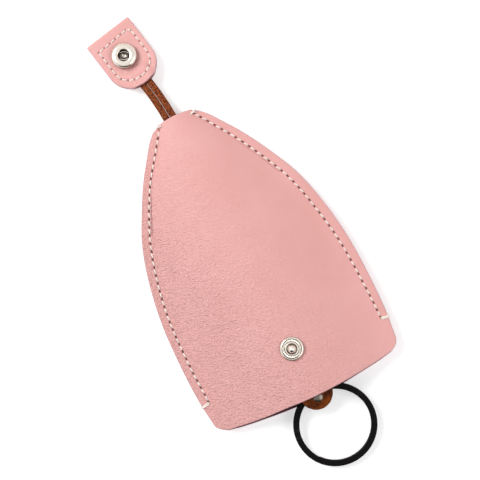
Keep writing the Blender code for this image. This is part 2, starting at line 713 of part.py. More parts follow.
def ring_tilt():
    """The ring leans down from its eye until its far side is just above the leather it slides over."""
    fall = SEAM_Z - LEATHER - REST_GAP - RING_HALF_HEIGHT
    return math.asin(fall / (RING_MEAN_RADIUS + RING_RADIUS))


def clear_scene():
    """An empty scene, with one collection for the part and one for its cutters and guides."""
    for item in list(bpy.data.objects):
        bpy.data.objects.remove(item)
    made = []
    for name in ("pull_out_key_case", "cutters"):
        collection = bpy.data.collections.new(name)
        bpy.context.scene.collection.children.link(collection)
        made.append(collection)
    return made


def build_case(root):
    """The sewn case with its snap stud."""
    front = build_panel("front_panel", front_height, 1, -MOUTH_SETBACK, root)
    bored(front, STUD_X, -STUD_DEPTH, SNAP_POST_RADIUS + SNAP_HOLE_CLEARANCE, SEAM_Z + FRONT_RISE + CUT_OVERRUN * 3)
    build_panel("back_panel", back_height, -1, MOUTH_OVERHANG, root)
    for side, side_name in ((-1, "left"), (1, "right")):
        for face, face_name in ((1, "front"), (-1, "back")):
            build_seam_thread(f"seam_thread_{side_name}_{face_name}", side, face, root)
    build_stud(root)


def build_holder(strap):
    """The ring holder and the key ring, which swing about the upper rivet."""
    holder = axis_empty("holder_swing_axis", strap, (HOLDER_X, -UPPER_RIVET_DEPTH, SEAM_Z))
    build_holder_leaf("ring_holder_front", 1, holder)
    build_holder_leaf("ring_holder_back", -1, holder)
    build_rivet("upper_rivet", UPPER_RIVET_DEPTH, holder)
    build_rivet("lower_rivet", LOWER_RIVET_DEPTH, holder)
    tilt = ring_tilt()
    across = RING_X - HOLDER_X
    down = UPPER_RIVET_DEPTH - RING_EYE_DEPTH - RING_MEAN_RADIUS * math.cos(tilt)
    ring = axis_empty("ring_turn_axis", holder, (across, down, -RING_MEAN_RADIUS * math.sin(tilt)), (tilt, 0, 0))
    build_key_ring(ring)


def build_pull_tab(strap):
    """The pull tab with its stitches, snap socket and the end of the lace."""
    hinge = (lace_middle(LACE_OUTSIDE)[0], LACE_OUTSIDE, HINGE_Z)
    tab = axis_empty("tab_fold_axis", strap, hinge, (-tab_droop(), 0, TAB_LEAN))
    build_tab(tab)
    build_lace_bight(tab)
    build_tab_thread("tab_thread_front", 1, tab)
    build_tab_thread("tab_thread_back", -1, tab)
    build_socket(tab)


def main():
    reach_up = LACE_OUTSIDE + TAB_FOLD_Y * math.cos(tab_droop()) * math.cos(TAB_LEAN)
    reach_up += TAB_HALF_WIDTH * math.sin(TAB_LEAN)
    reach_down = RING_EYE_DEPTH + (RING_MEAN_RADIUS + RING_RADIUS) * math.cos(ring_tilt())
    root = axis_empty("case_top", None, (0, (reach_down - reach_up) / 2, 0))
    build_case(root)
    strap = axis_empty("lace_slide_axis", root, (0, 0, 0))
    build_lace(strap)
    build_holder(strap)
    build_pull_tab(strap)
    bpy.context.view_layer.update()
    for item in parts.objects:
        if item.type == "EMPTY":
            print(item.name, [round(value, 6) for value in item.matrix_world.translation])


parts, cutters = clear_scene()
main()
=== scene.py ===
import math

import bmesh
import bpy
import numpy as np
from mathutils import Euler, Matrix, Vector


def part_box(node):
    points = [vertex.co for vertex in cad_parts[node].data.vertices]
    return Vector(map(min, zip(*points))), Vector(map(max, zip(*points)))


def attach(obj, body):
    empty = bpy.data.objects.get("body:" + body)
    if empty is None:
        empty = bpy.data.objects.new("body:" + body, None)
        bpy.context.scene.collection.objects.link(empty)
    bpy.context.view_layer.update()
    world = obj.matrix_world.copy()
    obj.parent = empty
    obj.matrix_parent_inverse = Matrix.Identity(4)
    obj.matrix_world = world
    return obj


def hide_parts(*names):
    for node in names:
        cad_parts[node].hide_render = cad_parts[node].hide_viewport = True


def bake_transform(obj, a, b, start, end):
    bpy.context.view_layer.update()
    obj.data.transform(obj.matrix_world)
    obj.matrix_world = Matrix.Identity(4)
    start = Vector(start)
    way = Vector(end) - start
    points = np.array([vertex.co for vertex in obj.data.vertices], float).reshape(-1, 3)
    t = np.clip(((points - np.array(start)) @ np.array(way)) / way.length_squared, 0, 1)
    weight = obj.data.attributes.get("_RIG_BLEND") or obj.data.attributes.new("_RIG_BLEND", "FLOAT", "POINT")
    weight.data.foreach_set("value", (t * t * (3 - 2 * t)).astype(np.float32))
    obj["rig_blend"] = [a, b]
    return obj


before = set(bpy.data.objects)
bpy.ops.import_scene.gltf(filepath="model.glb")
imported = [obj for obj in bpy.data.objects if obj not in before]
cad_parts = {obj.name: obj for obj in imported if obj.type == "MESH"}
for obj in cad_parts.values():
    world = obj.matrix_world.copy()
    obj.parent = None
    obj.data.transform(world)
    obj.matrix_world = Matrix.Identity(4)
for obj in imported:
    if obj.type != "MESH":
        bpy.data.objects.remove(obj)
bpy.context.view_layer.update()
print("frame loaded")


# shared shaping

# the shortest length that anything is divided by
tiny = 1e-12


def ease(share):
    share = min(1, max(0, share))
    return share * share * (3 - 2 * share)


def glide(chain, place):
    # a smooth line through pairs; place runs from 0 to 1 along it
    spans = len(chain) - 1
    first = min(int(place * spans), spans - 1)
    along = place * spans - first
    before, start, end, after = [Vector(chain[min(max(first + step, 0), spans)]) for step in (-1, 0, 1, 2)]
    bend = 2 * before - 5 * start + 4 * end - after
    twist = 3 * start - before - 3 * end + after
    return start + ((end - before) * along + bend * along**2 + twist * along**3) / 2


def measured(chain):
    # how far along the run each of its points lies
    lengths = [0]
    for first, second in zip(chain, chain[1:]):
        lengths.append(lengths[-1] + (second - first).length)
    return lengths


def evenly(points, count, closed=False):
    # the same run of points, re-spaced to equal steps
    chain = [Vector(point) for point in points]
    if closed:
        chain.append(chain[0])
    lengths = measured(chain)
    found, leg = [], 0
    for step in range(count if closed else count + 1):
        goal = lengths[-1] * step / count
        while leg < len(chain) - 2 and lengths[leg + 1] < goal:
            leg += 1
        share = (goal - lengths[leg]) / max(tiny, lengths[leg + 1] - lengths[leg])
        found.append(chain[leg].lerp(chain[leg + 1], share))
    return found


def dress(piece, look):
    # one look on the whole piece, shaded smooth
    piece.data.materials.clear()
    piece.data.materials.append(look)
    for polygon in piece.data.polygons:
        polygon.use_smooth = True
    return piece


def addPiece(name, data):
    made = bpy.data.objects.new(name, data)
    bpy.context.scene.collection.objects.link(made)
    return made


def mark(mesh, label, values):
    # a number for every point, which a material reads
    mesh.attributes.new(label, "FLOAT", "POINT").data.foreach_set("value", values)


def handOver(piece, body, slotName, *nodes):
    # the piece moves with its body and stands for these CAD nodes
    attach(piece, body)
    if nodes:
        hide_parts(*nodes)
    return piece


def surfaceNormals(points):
    # points has rows, columns and xyz
    normals = np.cross(np.gradient(points, axis=1), np.gradient(points, axis=0))
    return normals / np.maximum(np.linalg.norm(normals, axis=2, keepdims=True), tiny)


def facingNormals(points, face):
    # the same, turned up for a front and down for a back
    normals = surfaceNormals(points)
    return normals if np.sign(normals[:, :, 2].mean()) == face else -normals


def leatherSheet(name, inner, outer, edgeRound, marks, look):
    # a closed sheet between two grids of points, with rounded cut edges
    # marks are values for each outer point, by attribute name
    rows, columns, _ = inner.shape
    rim = [(0, c) for c in range(columns)] + [(r, columns - 1) for r in range(1, rows)]
    rim += [(rows - 1, c) for c in range(columns - 2, -1, -1)] + [(r, 0) for r in range(rows - 2, 0, -1)]
    outerRim = np.array([outer[r, c] for r, c in rim])
    innerRim = np.array([inner[r, c] for r, c in rim])
    middle = (outerRim + innerRim) / 2
    along = np.roll(middle, -1, axis=0) - np.roll(middle, 1, axis=0)
    out = np.cross(along, outerRim - innerRim)
    out /= np.maximum(np.linalg.norm(out, axis=1, keepdims=True), tiny)
    inwardPoint = np.array([inner[min(max(r, 1), rows - 2), min(max(c, 1), columns - 2)] for r, c in rim])
    facing = np.sign(np.sum(out * (innerRim - inwardPoint), axis=1))
    out *= 1 if facing.sum() >= 0 else -1
    count, rimSteps, halfThick = rows * columns, 6, (outerRim - innerRim) / 2
    vertices = [outer.reshape(-1, 3), inner.reshape(-1, 3)]
    loops = [[r * columns + c for r, c in rim]]
    for step in range(1, rimSteps):
        turn = math.pi * step / rimSteps
        start = 2 * count + (step - 1) * len(rim)
        vertices.append(middle + halfThick * math.cos(turn) + out * edgeRound * math.sin(turn))
        loops.append(list(range(start, start + len(rim))))
    loops.append([count + r * columns + c for r, c in rim])
    faces = []
    for r in range(rows - 1):
        for c in range(columns - 1):
            a, b = r * columns + c, r * columns + c + 1
            d, e = a + columns, b + columns
            faces.append((a, d, e, b))
            faces.append((count + a, count + b, count + e, count + d))
    for first, second in zip(loops, loops[1:]):
        for k in range(len(rim)):
            n = (k + 1) % len(rim)
            faces.append((first[k], first[n], second[n], second[k]))
    mesh = bpy.data.meshes.new(name)
    points = np.concatenate(vertices)
    mesh.from_pydata([tuple(point) for point in points.tolist()], [], faces)
    sheets = {label: (slice(0, count), values.ravel()) for label, values in marks.items()}
    sheets["cutEdge"] = (slice(2 * count, None), 1)
    # the inner face: a dark flesh side, which the pink leather darkens further as painted shade where it shows
    # at the mouth
    sheets["fleshSide"] = (slice(count, 2 * count), 1)
    for label, (part, values) in sheets.items():
        flat = np.zeros(len(points), np.float32)
        flat[part] = values
        mark(mesh, label, flat)
    made = bmesh.new()
    made.from_mesh(mesh)
    bmesh.ops.recalc_face_normals(made, faces=made.faces)
    made.to_mesh(mesh)
    made.free()
    return dress(addPiece(name, mesh), look)


# building node trees

def fill(tree, node, values):
    # numbers, sockets or whole nodes, for a node's inputs
    for key, value in values.items():
        if isinstance(value, bpy.types.Node):
            value = next(socket for socket in value.outputs if socket.enabled)
        if isinstance(value, bpy.types.NodeSocket):
            tree.links.new(value, node.inputs[key])
        else:
            node.inputs[key].default_value = value


def put(tree, kind, values=None, **settings):
    # one node: settings are its own options, values go to its inputs
    made = tree.nodes.new(kind)
    for key, value in settings.items():
        setattr(made, key, value)
    fill(tree, made, values or {})
    return made


def newTree(name, kind, inputs, outputs):
    # a number makes a number socket with that value, a word makes a socket of that kind
    tree = bpy.data.node_groups.new(name, kind)
    for label, value in inputs.items():
        word = value if isinstance(value, str) else {int: "Int", float: "Float"}[type(value)]
        made = tree.interface.new_socket(label, in_out="INPUT", socket_type="NodeSocket" + word)
        if word != value:
            made.default_value = value
    for label, word in outputs.items():
        tree.interface.new_socket(label, in_out="OUTPUT", socket_type="NodeSocket" + word)
    entry = tree.nodes.new("NodeGroupInput")
    into = {socket.name: socket for socket in entry.outputs if socket.name}
    return tree, into, tree.nodes.new("NodeGroupOutput")


def number(tree, operation, *values):
    return put(tree, "ShaderNodeMath", dict(enumerate(values)), operation=operation)


def arrow(tree, operation, *values):
    return put(tree, "ShaderNodeVectorMath", dict(enumerate(values)), operation=operation)


def lengthened(tree, vector, size):
    return put(tree, "ShaderNodeVectorMath", {0: vector, "Scale": size}, operation="SCALE")


def mapped(tree, value, span, onto=(0.0, 1.0), kind="LINEAR"):
    return put(tree, "ShaderNodeMapRange", {"Value": value, "From Min": span[0], "From Max": span[1],
               "To Min": onto[0], "To Max": onto[1]}, interpolation_type=kind)


def noise(tree, spot, scale, detail, roughness=0.5):
    return put(tree, "ShaderNodeTexNoise", {"Vector": spot, "Scale": scale, "Detail": detail,
               "Roughness": roughness})


def bumps(tree, height, strength, depth, **under):
    return put(tree, "ShaderNodeBump", {"Height": height, "Strength": strength, "Distance": depth, **under})


def blendColours(tree, factor, first, second):
    return put(tree, "ShaderNodeMix", {0: factor, 6: first, 7: second}, data_type="RGBA")


def marked(tree, label, first, second):
    # the second colour where the mesh carries this mark
    found = put(tree, "ShaderNodeAttribute", attribute_name=label)
    return blendColours(tree, found.outputs["Fac"], first, second)


# finishes

grainMake = {
    "warpScale": 420.0, "warpReach": 0.0006, "cellSoftness": 0.6, "pebbleReach": 0.75, "poreFineness": 2.3,
    "poreRoughness": 0.6, "mottleRoughness": 0.55, "foldLie": math.radians(26.5),
    "foldStretch": (0.48, 1.0, 1.0), "foldScale": 2050.0, "foldSpan": (0.38, 0.78),
}


def leatherGrainGroup():
    # pebble and pore height, a slow change of tone, and creases that lie one way
    tree, into, out = newTree("leatherGrain", "ShaderNodeTree", {
        "Vector": "Vector", "Grain Size": 0.0006, "Pore Share": 0.35, "Mottle Size": 0.018,
    }, {"Height": "Float", "Tone": "Float", "Crease": "Float"})
    spot = into["Vector"]
    density = number(tree, "DIVIDE", 1.0, into["Grain Size"])
    warp = noise(tree, spot, grainMake["warpScale"], 2.0)
    moved = arrow(tree, "ADD", spot, lengthened(tree, warp.outputs["Color"], grainMake["warpReach"]))
    cells = put(tree, "ShaderNodeTexVoronoi", {"Vector": moved, "Scale": density,
                "Smoothness": grainMake["cellSoftness"]}, feature="SMOOTH_F1")
    pebble = mapped(tree, cells, (0.0, grainMake["pebbleReach"]), (1.0, 0.0))
    fine = number(tree, "MULTIPLY", density, grainMake["poreFineness"])
    pores = noise(tree, spot, fine, 3.0, grainMake["poreRoughness"])
    height = put(tree, "ShaderNodeMix", {"Factor": into["Pore Share"], "A": pebble, "B": pores})
    mottleDensity = number(tree, "DIVIDE", 1.0, into["Mottle Size"])
    mottle = noise(tree, spot, mottleDensity, 4.0, grainMake["mottleRoughness"])
    laid = put(tree, "ShaderNodeVectorRotate", {"Vector": moved, "Angle": grainMake["foldLie"]},
               rotation_type="Z_AXIS")
    folds = noise(tree, arrow(tree, "MULTIPLY", laid, grainMake["foldStretch"]), grainMake["foldScale"], 1.5)
    crease = mapped(tree, folds, grainMake["foldSpan"], kind="SMOOTHSTEP")
    fill(tree, out, {"Height": height, "Tone": mottle, "Crease": crease})
    return tree


def edgeWearAndHighlightGroup():
    # raises where a surface turns sharply, broken up by noise: worn edges, also used as a painted edge
    # highlight
    tree, into, out = newTree("edgeWear", "ShaderNodeTree", {
        "Vector": "Vector", "Pointiness": 0.5, "Start": 0.52, "Full": 0.60, "Break Up": 900.0,
    }, {"Wear": "Float"})
    rub = mapped(tree, into["Pointiness"], (into["Start"], into["Full"]))
    broken = mapped(tree, noise(tree, into["Vector"], into["Break Up"], 3.0), (0.35, 0.65))
    fill(tree, out, {"Wear": number(tree, "MULTIPLY", rub, broken)})
    return tree


grainGroup = leatherGrainGroup()
wearAndHighlightGroup = edgeWearAndHighlightGroup()


def bareMaterial(name):
    made = bpy.data.materials.new(name)
    made.use_nodes = True
    tree = made.node_tree
    return made, tree, tree.nodes["Principled BSDF"], put(tree, "ShaderNodeTexCoord").outputs["Object"]


def wornAndHighlitColour(tree, spot, colour, rubbedAndHighlight):
    # the colour, rubbed through where the edges are sharp, and lighter there as a painted highlight
    wearAndHighlight = put(tree, "ShaderNodeGroup", node_tree=wearAndHighlightGroup)
    fill(tree, wearAndHighlight, {"Vector": spot, "Pointiness": put(tree, "ShaderNodeNewGeometry").outputs["Pointiness"]})
    return blendColours(tree, wearAndHighlight, colour, rubbedAndHighlight)


pinkFinish = {
    "colour": (0.838, 0.428, 0.400, 1),
    "deep": (0.797, 0.390, 0.361, 1),
    # the next colour is a painted glint on the crests of the grain
    "paintedGlint": (0.955, 0.512, 0.482, 1),
    "cutEdge": (0.640, 0.370, 0.400, 1),
    # the needle holes' colour is painted shade inside the slits
    "needleHole": (0.170, 0.040, 0.036, 1),
    # the inner face's colour: a dark flesh side, darkened further as painted shade for the strip at the mouth
    "fleshSide": (0.130, 0.036, 0.044, 1),
    "toneSpan": (0.35, 0.68),
    "grainSize": 0.00080,
    "grainDepth": 0.00022,
    "foldDepth": 0.00030,
    "coarseWay": (1.0, 0.25, 0.0),
    "coarseSpan": (-0.024, 0.020),
    "fineShare": 0.06,
    "heightSpan": (0.2, 0.8),
    "roughness": (0.56, 0.38),
    "shine": 0.42,
}


def pinkLeather():
    made, tree, shader, spot = bareMaterial("pinkLeather")
    grain = put(tree, "ShaderNodeGroup", node_tree=grainGroup)
    fill(tree, grain, {"Vector": spot, "Grain Size": pinkFinish["grainSize"]})
    height, tone, crease = grain.outputs
    # the grain is coarse on the left of the case and fine on its right
    lie = arrow(tree, "DOT_PRODUCT", spot, pinkFinish["coarseWay"])
    coarse = mapped(tree, lie, pinkFinish["coarseSpan"], (1.0, pinkFinish["fineShare"]))
    colour = blendColours(tree, mapped(tree, tone, pinkFinish["toneSpan"]), pinkFinish["colour"],
                          pinkFinish["deep"])
    # painted glints: crests of the creases lighter, most on the left where the grain is coarse
    colour = blendColours(tree, number(tree, "MULTIPLY", crease, coarse), colour, pinkFinish["paintedGlint"])
    # the needle holes and the inner face get painted shade; the cut edge gets its own colour
    for label in ("cutEdge", "needleHole", "fleshSide"):
        colour = marked(tree, label, colour, pinkFinish[label])
    bump = bumps(tree, height, coarse, pinkFinish["grainDepth"])
    fold = bumps(tree, crease, coarse, pinkFinish["foldDepth"], Normal=bump)
    fill(tree, shader, {"Base Color": colour, "Normal": fold, "Specular IOR Level": pinkFinish["shine"],
                        "Roughness": mapped(tree, height, pinkFinish["heightSpan"], pinkFinish["roughness"])})
    return made


laceFinish = {
    "name": "laceLeather", "light": (0.360, 0.085, 0.018, 1), "dark": (0.060, 0.010, 0.002, 1),
    "rawEdge": (0.110, 0.034, 0.012, 1), "mottle": 0.0006, "spread": (0.42, 0.58), "grainSize": 0.0007,
    "grainDepth": 0.00030, "grainStrength": 0.7, "poreShare": 0.6, "glossSpan": (0.3, 0.7),
    "roughness": (0.28, 0.48), "shine": 0.13,
}
holderFinish = {
    "name": "holderLeather", "light": (0.270, 0.058, 0.005, 1), "dark": (0.070, 0.013, 0.002, 1),
    "rawEdge": (0.050, 0.011, 0.003, 1), "mottle": 0.0022, "spread": (0.34, 0.66), "grainSize": 0.0009,
    "grainDepth": 0.00012, "grainStrength": 0.7, "poreShare": 0.6, "glossSpan": (0.3, 0.7),
    "roughness": (0.38, 0.58), "shine": 0.10,
}


def brownLeather(finish):
    made, tree, shader, spot = bareMaterial(finish["name"])
    grain = put(tree, "ShaderNodeGroup", node_tree=grainGroup)
    fill(tree, grain, {"Vector": spot, "Grain Size": finish["grainSize"], "Mottle Size": finish["mottle"],
                       "Pore Share": finish["poreShare"]})
    height, tone, _ = grain.outputs
    colour = blendColours(tree, mapped(tree, tone, finish["spread"]), finish["light"], finish["dark"])
    fill(tree, shader, {"Base Color": marked(tree, "cutEdge", colour, finish["rawEdge"]),
                        "Roughness": mapped(tree, tone, finish["glossSpan"], finish["roughness"]),
                        "Normal": bumps(tree, height, finish["grainStrength"], finish["grainDepth"]),
                        "Specular IOR Level": finish["shine"]})
    return made


threadFinish = {
    "colour": (1.000, 0.970, 0.910, 1), "shade": (0.930, 0.860, 0.780, 1), "roughness": 0.72, "sheen": 0.1,
    "fuzzScale": 9000.0, "fuzzDepth": 0.00004, "fuzzStrength": 0.3,
}


def creamThread():
    made, tree, shader, spot = bareMaterial("creamThread")
    fuzz = noise(tree, spot, threadFinish["fuzzScale"], 2.0)
    colour = marked(tree, "plyHeight", threadFinish["shade"], threadFinish["colour"])
    fill(tree, shader, {"Base Color": colour, "Roughness": threadFinish["roughness"],
                        "Normal": bumps(tree, fuzz, threadFinish["fuzzStrength"], threadFinish["fuzzDepth"]),
                        "Sheen Weight": threadFinish["sheen"]})
    return made


nickelFinish = {
    # the rubbed colour lightens sharp edges, partly wear and partly a painted highlight
    "colour": (0.780, 0.705, 0.625, 1), "dull": (0.530, 0.455, 0.378, 1), "rubbedAndHighlight": (0.90, 0.87, 0.82, 1),
    # the dark colour below is painted shade, for hollows, steep walls and parts that the case's mouth shades
    "recess": (0.045, 0.030, 0.022, 1), "cloudScale": 420.0, "dullSpan": (0.45, 0.8), "dullShare": 0.35,
    "glossSpan": (0.3, 0.8), "roughness": (0.14, 0.28), "brushWay": (1.0, 14.0, 1.0), "brushScale": 1500.0,
    "brushDepth": 0.00001, "brushStrength": 0.12,
}


def polishedNickel():
    made, tree, shader, spot = bareMaterial("polishedNickel")
    cloud = noise(tree, spot, nickelFinish["cloudScale"], 3.0)
    cloudy = mapped(tree, cloud, nickelFinish["dullSpan"], (0.0, nickelFinish["dullShare"]))
    colour = blendColours(tree, cloudy, nickelFinish["colour"], nickelFinish["dull"])
    colour = wornAndHighlitColour(tree, spot, colour, nickelFinish["rubbedAndHighlight"])
    brushed = arrow(tree, "MULTIPLY", spot, nickelFinish["brushWay"])
    brushed = noise(tree, brushed, nickelFinish["brushScale"], 2.0)
    gloss = mapped(tree, cloud, nickelFinish["glossSpan"], nickelFinish["roughness"])
    # the shade mark darkens the nickel towards that colour, as painted shade
    fill(tree, shader, {"Base Color": marked(tree, "recess", colour, nickelFinish["recess"]), "Metallic": 1,
                        "Roughness": gloss,
                        "Normal": bumps(tree, brushed, nickelFinish["brushStrength"],
                                        nickelFinish["brushDepth"])})
    return made


ringFinish = {
    # the rubbed colour lightens the ring's sharp edges, partly wear and partly a painted highlight
    "colour": (0.0042, 0.0034, 0.0034, 1), "rubbedAndHighlight": (0.050, 0.046, 0.044, 1), "roughness": (0.34, 0.52),
    "shine": 0.06, "glossSpan": (0.3, 0.7), "speckScale": 1600.0, "speckDepth": 0.00002,
    "speckStrength": 0.15,
}


def blackRing():
    made, tree, shader, spot = bareMaterial("blackRing")
    speck = noise(tree, spot, ringFinish["speckScale"], 3.0)
    fill(tree, shader, {"Base Color": wornAndHighlitColour(tree, spot, ringFinish["colour"], ringFinish["rubbedAndHighlight"]),
                        "Roughness": mapped(tree, speck, ringFinish["glossSpan"], ringFinish["roughness"]),
                        "Normal": bumps(tree, speck, ringFinish["speckStrength"], ringFinish["speckDepth"]),
                        "Specular IOR Level": ringFinish["shine"]})
    return made


looks = {"pink": pinkLeather(), "lace": brownLeather(laceFinish), "holder": brownLeather(holderFinish),
         "thread": creamThread(), "nickel": polishedNickel(), "ring": blackRing()}
print("finishes made")


# trees for what repeats or follows a path

def endTree(tree, into, out, geometry):
    real = put(tree, "GeometryNodeRealizeInstances", {"Geometry": geometry})
    fill(tree, out, {"Geometry": put(tree, "GeometryNodeSetMaterial", {"Geometry": real,
                                                                       "Material": into["Material"]})})
    return tree


def keptValue(tree, curve, kind, label, output):
    # a curve that remembers a spline value of its points, and that value
    kept = put(tree, "GeometryNodeCaptureAttribute", {"Geometry": curve}, domain="POINT")
    kept.capture_items.new(kind, label)
    fill(tree, kept, {label: put(tree, "GeometryNodeSplineParameter").outputs[output]})
    return kept.outputs["Geometry"], kept.outputs[label]


threadMake = {"arcSteps": 8, "sides": 6, "plies": 3, "plyDepth": 0.00004, "shake": 0.05}


def stitchTree():
    # one thread stitch on every point, from needle hole to needle hole
    tree, into, out = newTree("stitches", "GeometryNodeTree", {
        "Geometry": "Geometry", "Length": 0.0026, "Radius": 0.00033, "Arch": 0.0008, "Sink": 0.0004,
        "Slant": 0.12, "Twist": 9.0, "Seed": 4, "Material": "Material",
    }, {"Geometry": "Geometry"})
    half = number(tree, "MULTIPLY", into["Length"], 0.5)
    below = number(tree, "MULTIPLY", into["Sink"], -1.0)
    start = put(tree, "ShaderNodeCombineXYZ", {"X": number(tree, "MULTIPLY", half, -1.0), "Z": below})
    top = put(tree, "ShaderNodeCombineXYZ", {"Z": into["Arch"]})
    end = put(tree, "ShaderNodeCombineXYZ", {"X": half, "Z": below})
    arc = put(tree, "GeometryNodeCurveQuadraticBezier", {"Resolution": threadMake["arcSteps"], "Start": start,
              "Middle": top, "End": end})
    circle = put(tree, "GeometryNodeCurvePrimitiveCircle", {"Resolution": threadMake["sides"],
                 "Radius": into["Radius"]})
    path, along = keptValue(tree, arc, "FLOAT", "Along", "Factor")
    section, turn = keptValue(tree, circle, "INT", "Turn", "Index")
    body = put(tree, "GeometryNodeCurveToMesh", {"Curve": path, "Profile Curve": section, "Fill Caps": True})
    wound = number(tree, "MULTIPLY", along, into["Twist"])
    side = number(tree, "MULTIPLY", turn, 2 * math.pi / threadMake["plies"])
    wave = number(tree, "COSINE", number(tree, "ADD", wound, side))
    noted = put(tree, "GeometryNodeStoreNamedAttribute", {"Geometry": body, "Name": "plyHeight",
                "Value": mapped(tree, wave, (-1.0, 1.0))}, data_type="FLOAT", domain="POINT")
    push = lengthened(tree, put(tree, "GeometryNodeInputNormal"),
                      number(tree, "MULTIPLY", wave, threadMake["plyDepth"]))
    plied = put(tree, "GeometryNodeSetPosition", {"Geometry": noted, "Offset": push})
    way, up = [put(tree, "GeometryNodeInputNamedAttribute", {"Name": label}, data_type="FLOAT_VECTOR")
               for label in ("stitchAlong", "stitchUp")]
    first = put(tree, "FunctionNodeAlignRotationToVector", {"Vector": way}, axis="X")
    second = put(tree, "FunctionNodeAlignRotationToVector", {"Rotation": first, "Vector": up}, axis="Z",
                 pivot_axis="X")
    shake = put(tree, "FunctionNodeRandomValue", {"Seed": into["Seed"]}, data_type="FLOAT")
    for label, sign in (("Min", -1), ("Max", 1)):
        socket = next(socket for socket in shake.inputs if socket.name == label and socket.enabled)
        socket.default_value = sign * threadMake["shake"]
    lean = put(tree, "ShaderNodeCombineXYZ", {"Z": number(tree, "ADD", shake, into["Slant"])})
    third = put(tree, "FunctionNodeRotateRotation", {0: second, 1: lean}, rotation_space="LOCAL")
    placed = put(tree, "GeometryNodeInstanceOnPoints", {"Points": into["Geometry"], "Instance": plied,
                 "Rotation": third})
    return endTree(tree, into, out, placed)


def bandTree():
    # a band with rounded corners along a run of edges
    tree, into, out = newTree("band", "GeometryNodeTree", {
        "Geometry": "Geometry", "Width": 0.0022, "Thickness": 0.0016, "Corner": 0.0004, "Corner Steps": 3,
        "Wobble": 0.0, "Wobble Scale": 260.0, "Material": "Material",
    }, {"Geometry": "Geometry"})
    run = put(tree, "GeometryNodeMeshToCurve", {"Mesh": into["Geometry"]})
    upright = put(tree, "GeometryNodeSetCurveNormal", {"Curve": run}, mode="Z_UP")
    section = put(tree, "GeometryNodeCurvePrimitiveQuadrilateral", {"Width": into["Width"],
                  "Height": into["Thickness"]})
    rounded = put(tree, "GeometryNodeFilletCurve", {"Curve": section, "Count": into["Corner Steps"],
                  "Radius": into["Corner"]}, mode="POLY")
    body = put(tree, "GeometryNodeCurveToMesh", {"Curve": upright, "Profile Curve": rounded,
               "Fill Caps": True})
    rough = put(tree, "ShaderNodeTexNoise", {"Scale": into["Wobble Scale"], "Detail": 2.0})
    centred = arrow(tree, "SUBTRACT", rough.outputs["Color"], (0.5, 0.5, 0.5))
    shaken = put(tree, "GeometryNodeSetPosition", {"Geometry": body,
                 "Offset": lengthened(tree, centred, into["Wobble"])})
    return endTree(tree, into, out, shaken)


stitchNodes = stitchTree()
bandNodes = bandTree()


def growFrom(points, edges, tree, values, name, attributes=None):
    # runs a geometry tree on a bare mesh of points and edges, and keeps the result as a plain mesh
    seedMesh = bpy.data.meshes.new(name + "Seed")
    seedMesh.from_pydata([tuple(point) for point in points], edges, [])
    for label, vectors in (attributes or {}).items():
        made = seedMesh.attributes.new(label, "FLOAT_VECTOR", "POINT")
        made.data.foreach_set("vector", np.array(vectors, np.float32).ravel())
    seedPiece = addPiece(name + "Seed", seedMesh)
    modifier = seedPiece.modifiers.new("Grow", "NODES")
    modifier.node_group = tree
    for item in tree.interface.items_tree:
        if item.item_type == "SOCKET" and item.in_out == "INPUT" and item.name in values:
            modifier[item.identifier] = values[item.name]
    bpy.context.view_layer.update()
    mesh = bpy.data.meshes.new_from_object(seedPiece.evaluated_get(bpy.context.evaluated_depsgraph_get()))
    mesh.name = name
    bpy.data.objects.remove(seedPiece)
    bpy.data.meshes.remove(seedMesh)
    return addPiece(name, mesh)


def sewRow(name, holes, ups, settings, flip=1):
    # stitches between neighbouring needle holes
    middles, alongs, facings = [], [], []
    for first, second, upFirst, upSecond in zip(holes, holes[1:], ups, ups[1:]):
        middles.append((Vector(first) + Vector(second)) / 2)
        alongs.append(((Vector(second) - Vector(first)) * flip).normalized())
        facings.append((Vector(upFirst) + Vector(upSecond)).normalized())
    return growFrom(middles, [], stitchNodes, {**settings, "Material": looks["thread"]}, name,
                    {"stitchAlong": alongs, "stitchUp": facings})


def followPath(name, points, settings, look, closed=False):
    edges = [(k, k + 1) for k in range(len(points) - 1)]
    if closed:
        edges.append((len(points) - 1, 0))
    return growFrom(points, edges, bandNodes, {**settings, "Material": look}, name)


def roundWire(name, points, radius, look):
    return followPath(name, points, {"Width": 2 * radius, "Thickness": 2 * radius, "Corner": radius * 0.98,
                                     "Corner Steps": 3}, look)


def joinPieces(name, parts, look):
    # several plain pieces become one
    labels = {layer.name for part in parts for layer in part.data.attributes
              if layer.data_type == "FLOAT" and layer.domain == "POINT"}
    points, faces, marks = [], [], {label: [] for label in sorted(labels)}
    for part in parts:
        start, data = len(points), part.data
        points += [vertex.co[:] for vertex in data.vertices]
        faces += [[start + corner for corner in polygon.vertices] for polygon in data.polygons]
        for label, values in marks.items():
            layer = data.attributes.get(label)
            values += [item.value for item in layer.data] if layer else [0.0] * len(data.vertices)
    mesh = bpy.data.meshes.new(name)
    mesh.from_pydata(points, [], faces)
    for label, values in marks.items():
        mark(mesh, label, values)
    for part in parts:
        bpy.data.objects.remove(part)
    return dress(addPiece(name, mesh), look)


# the case's two panels

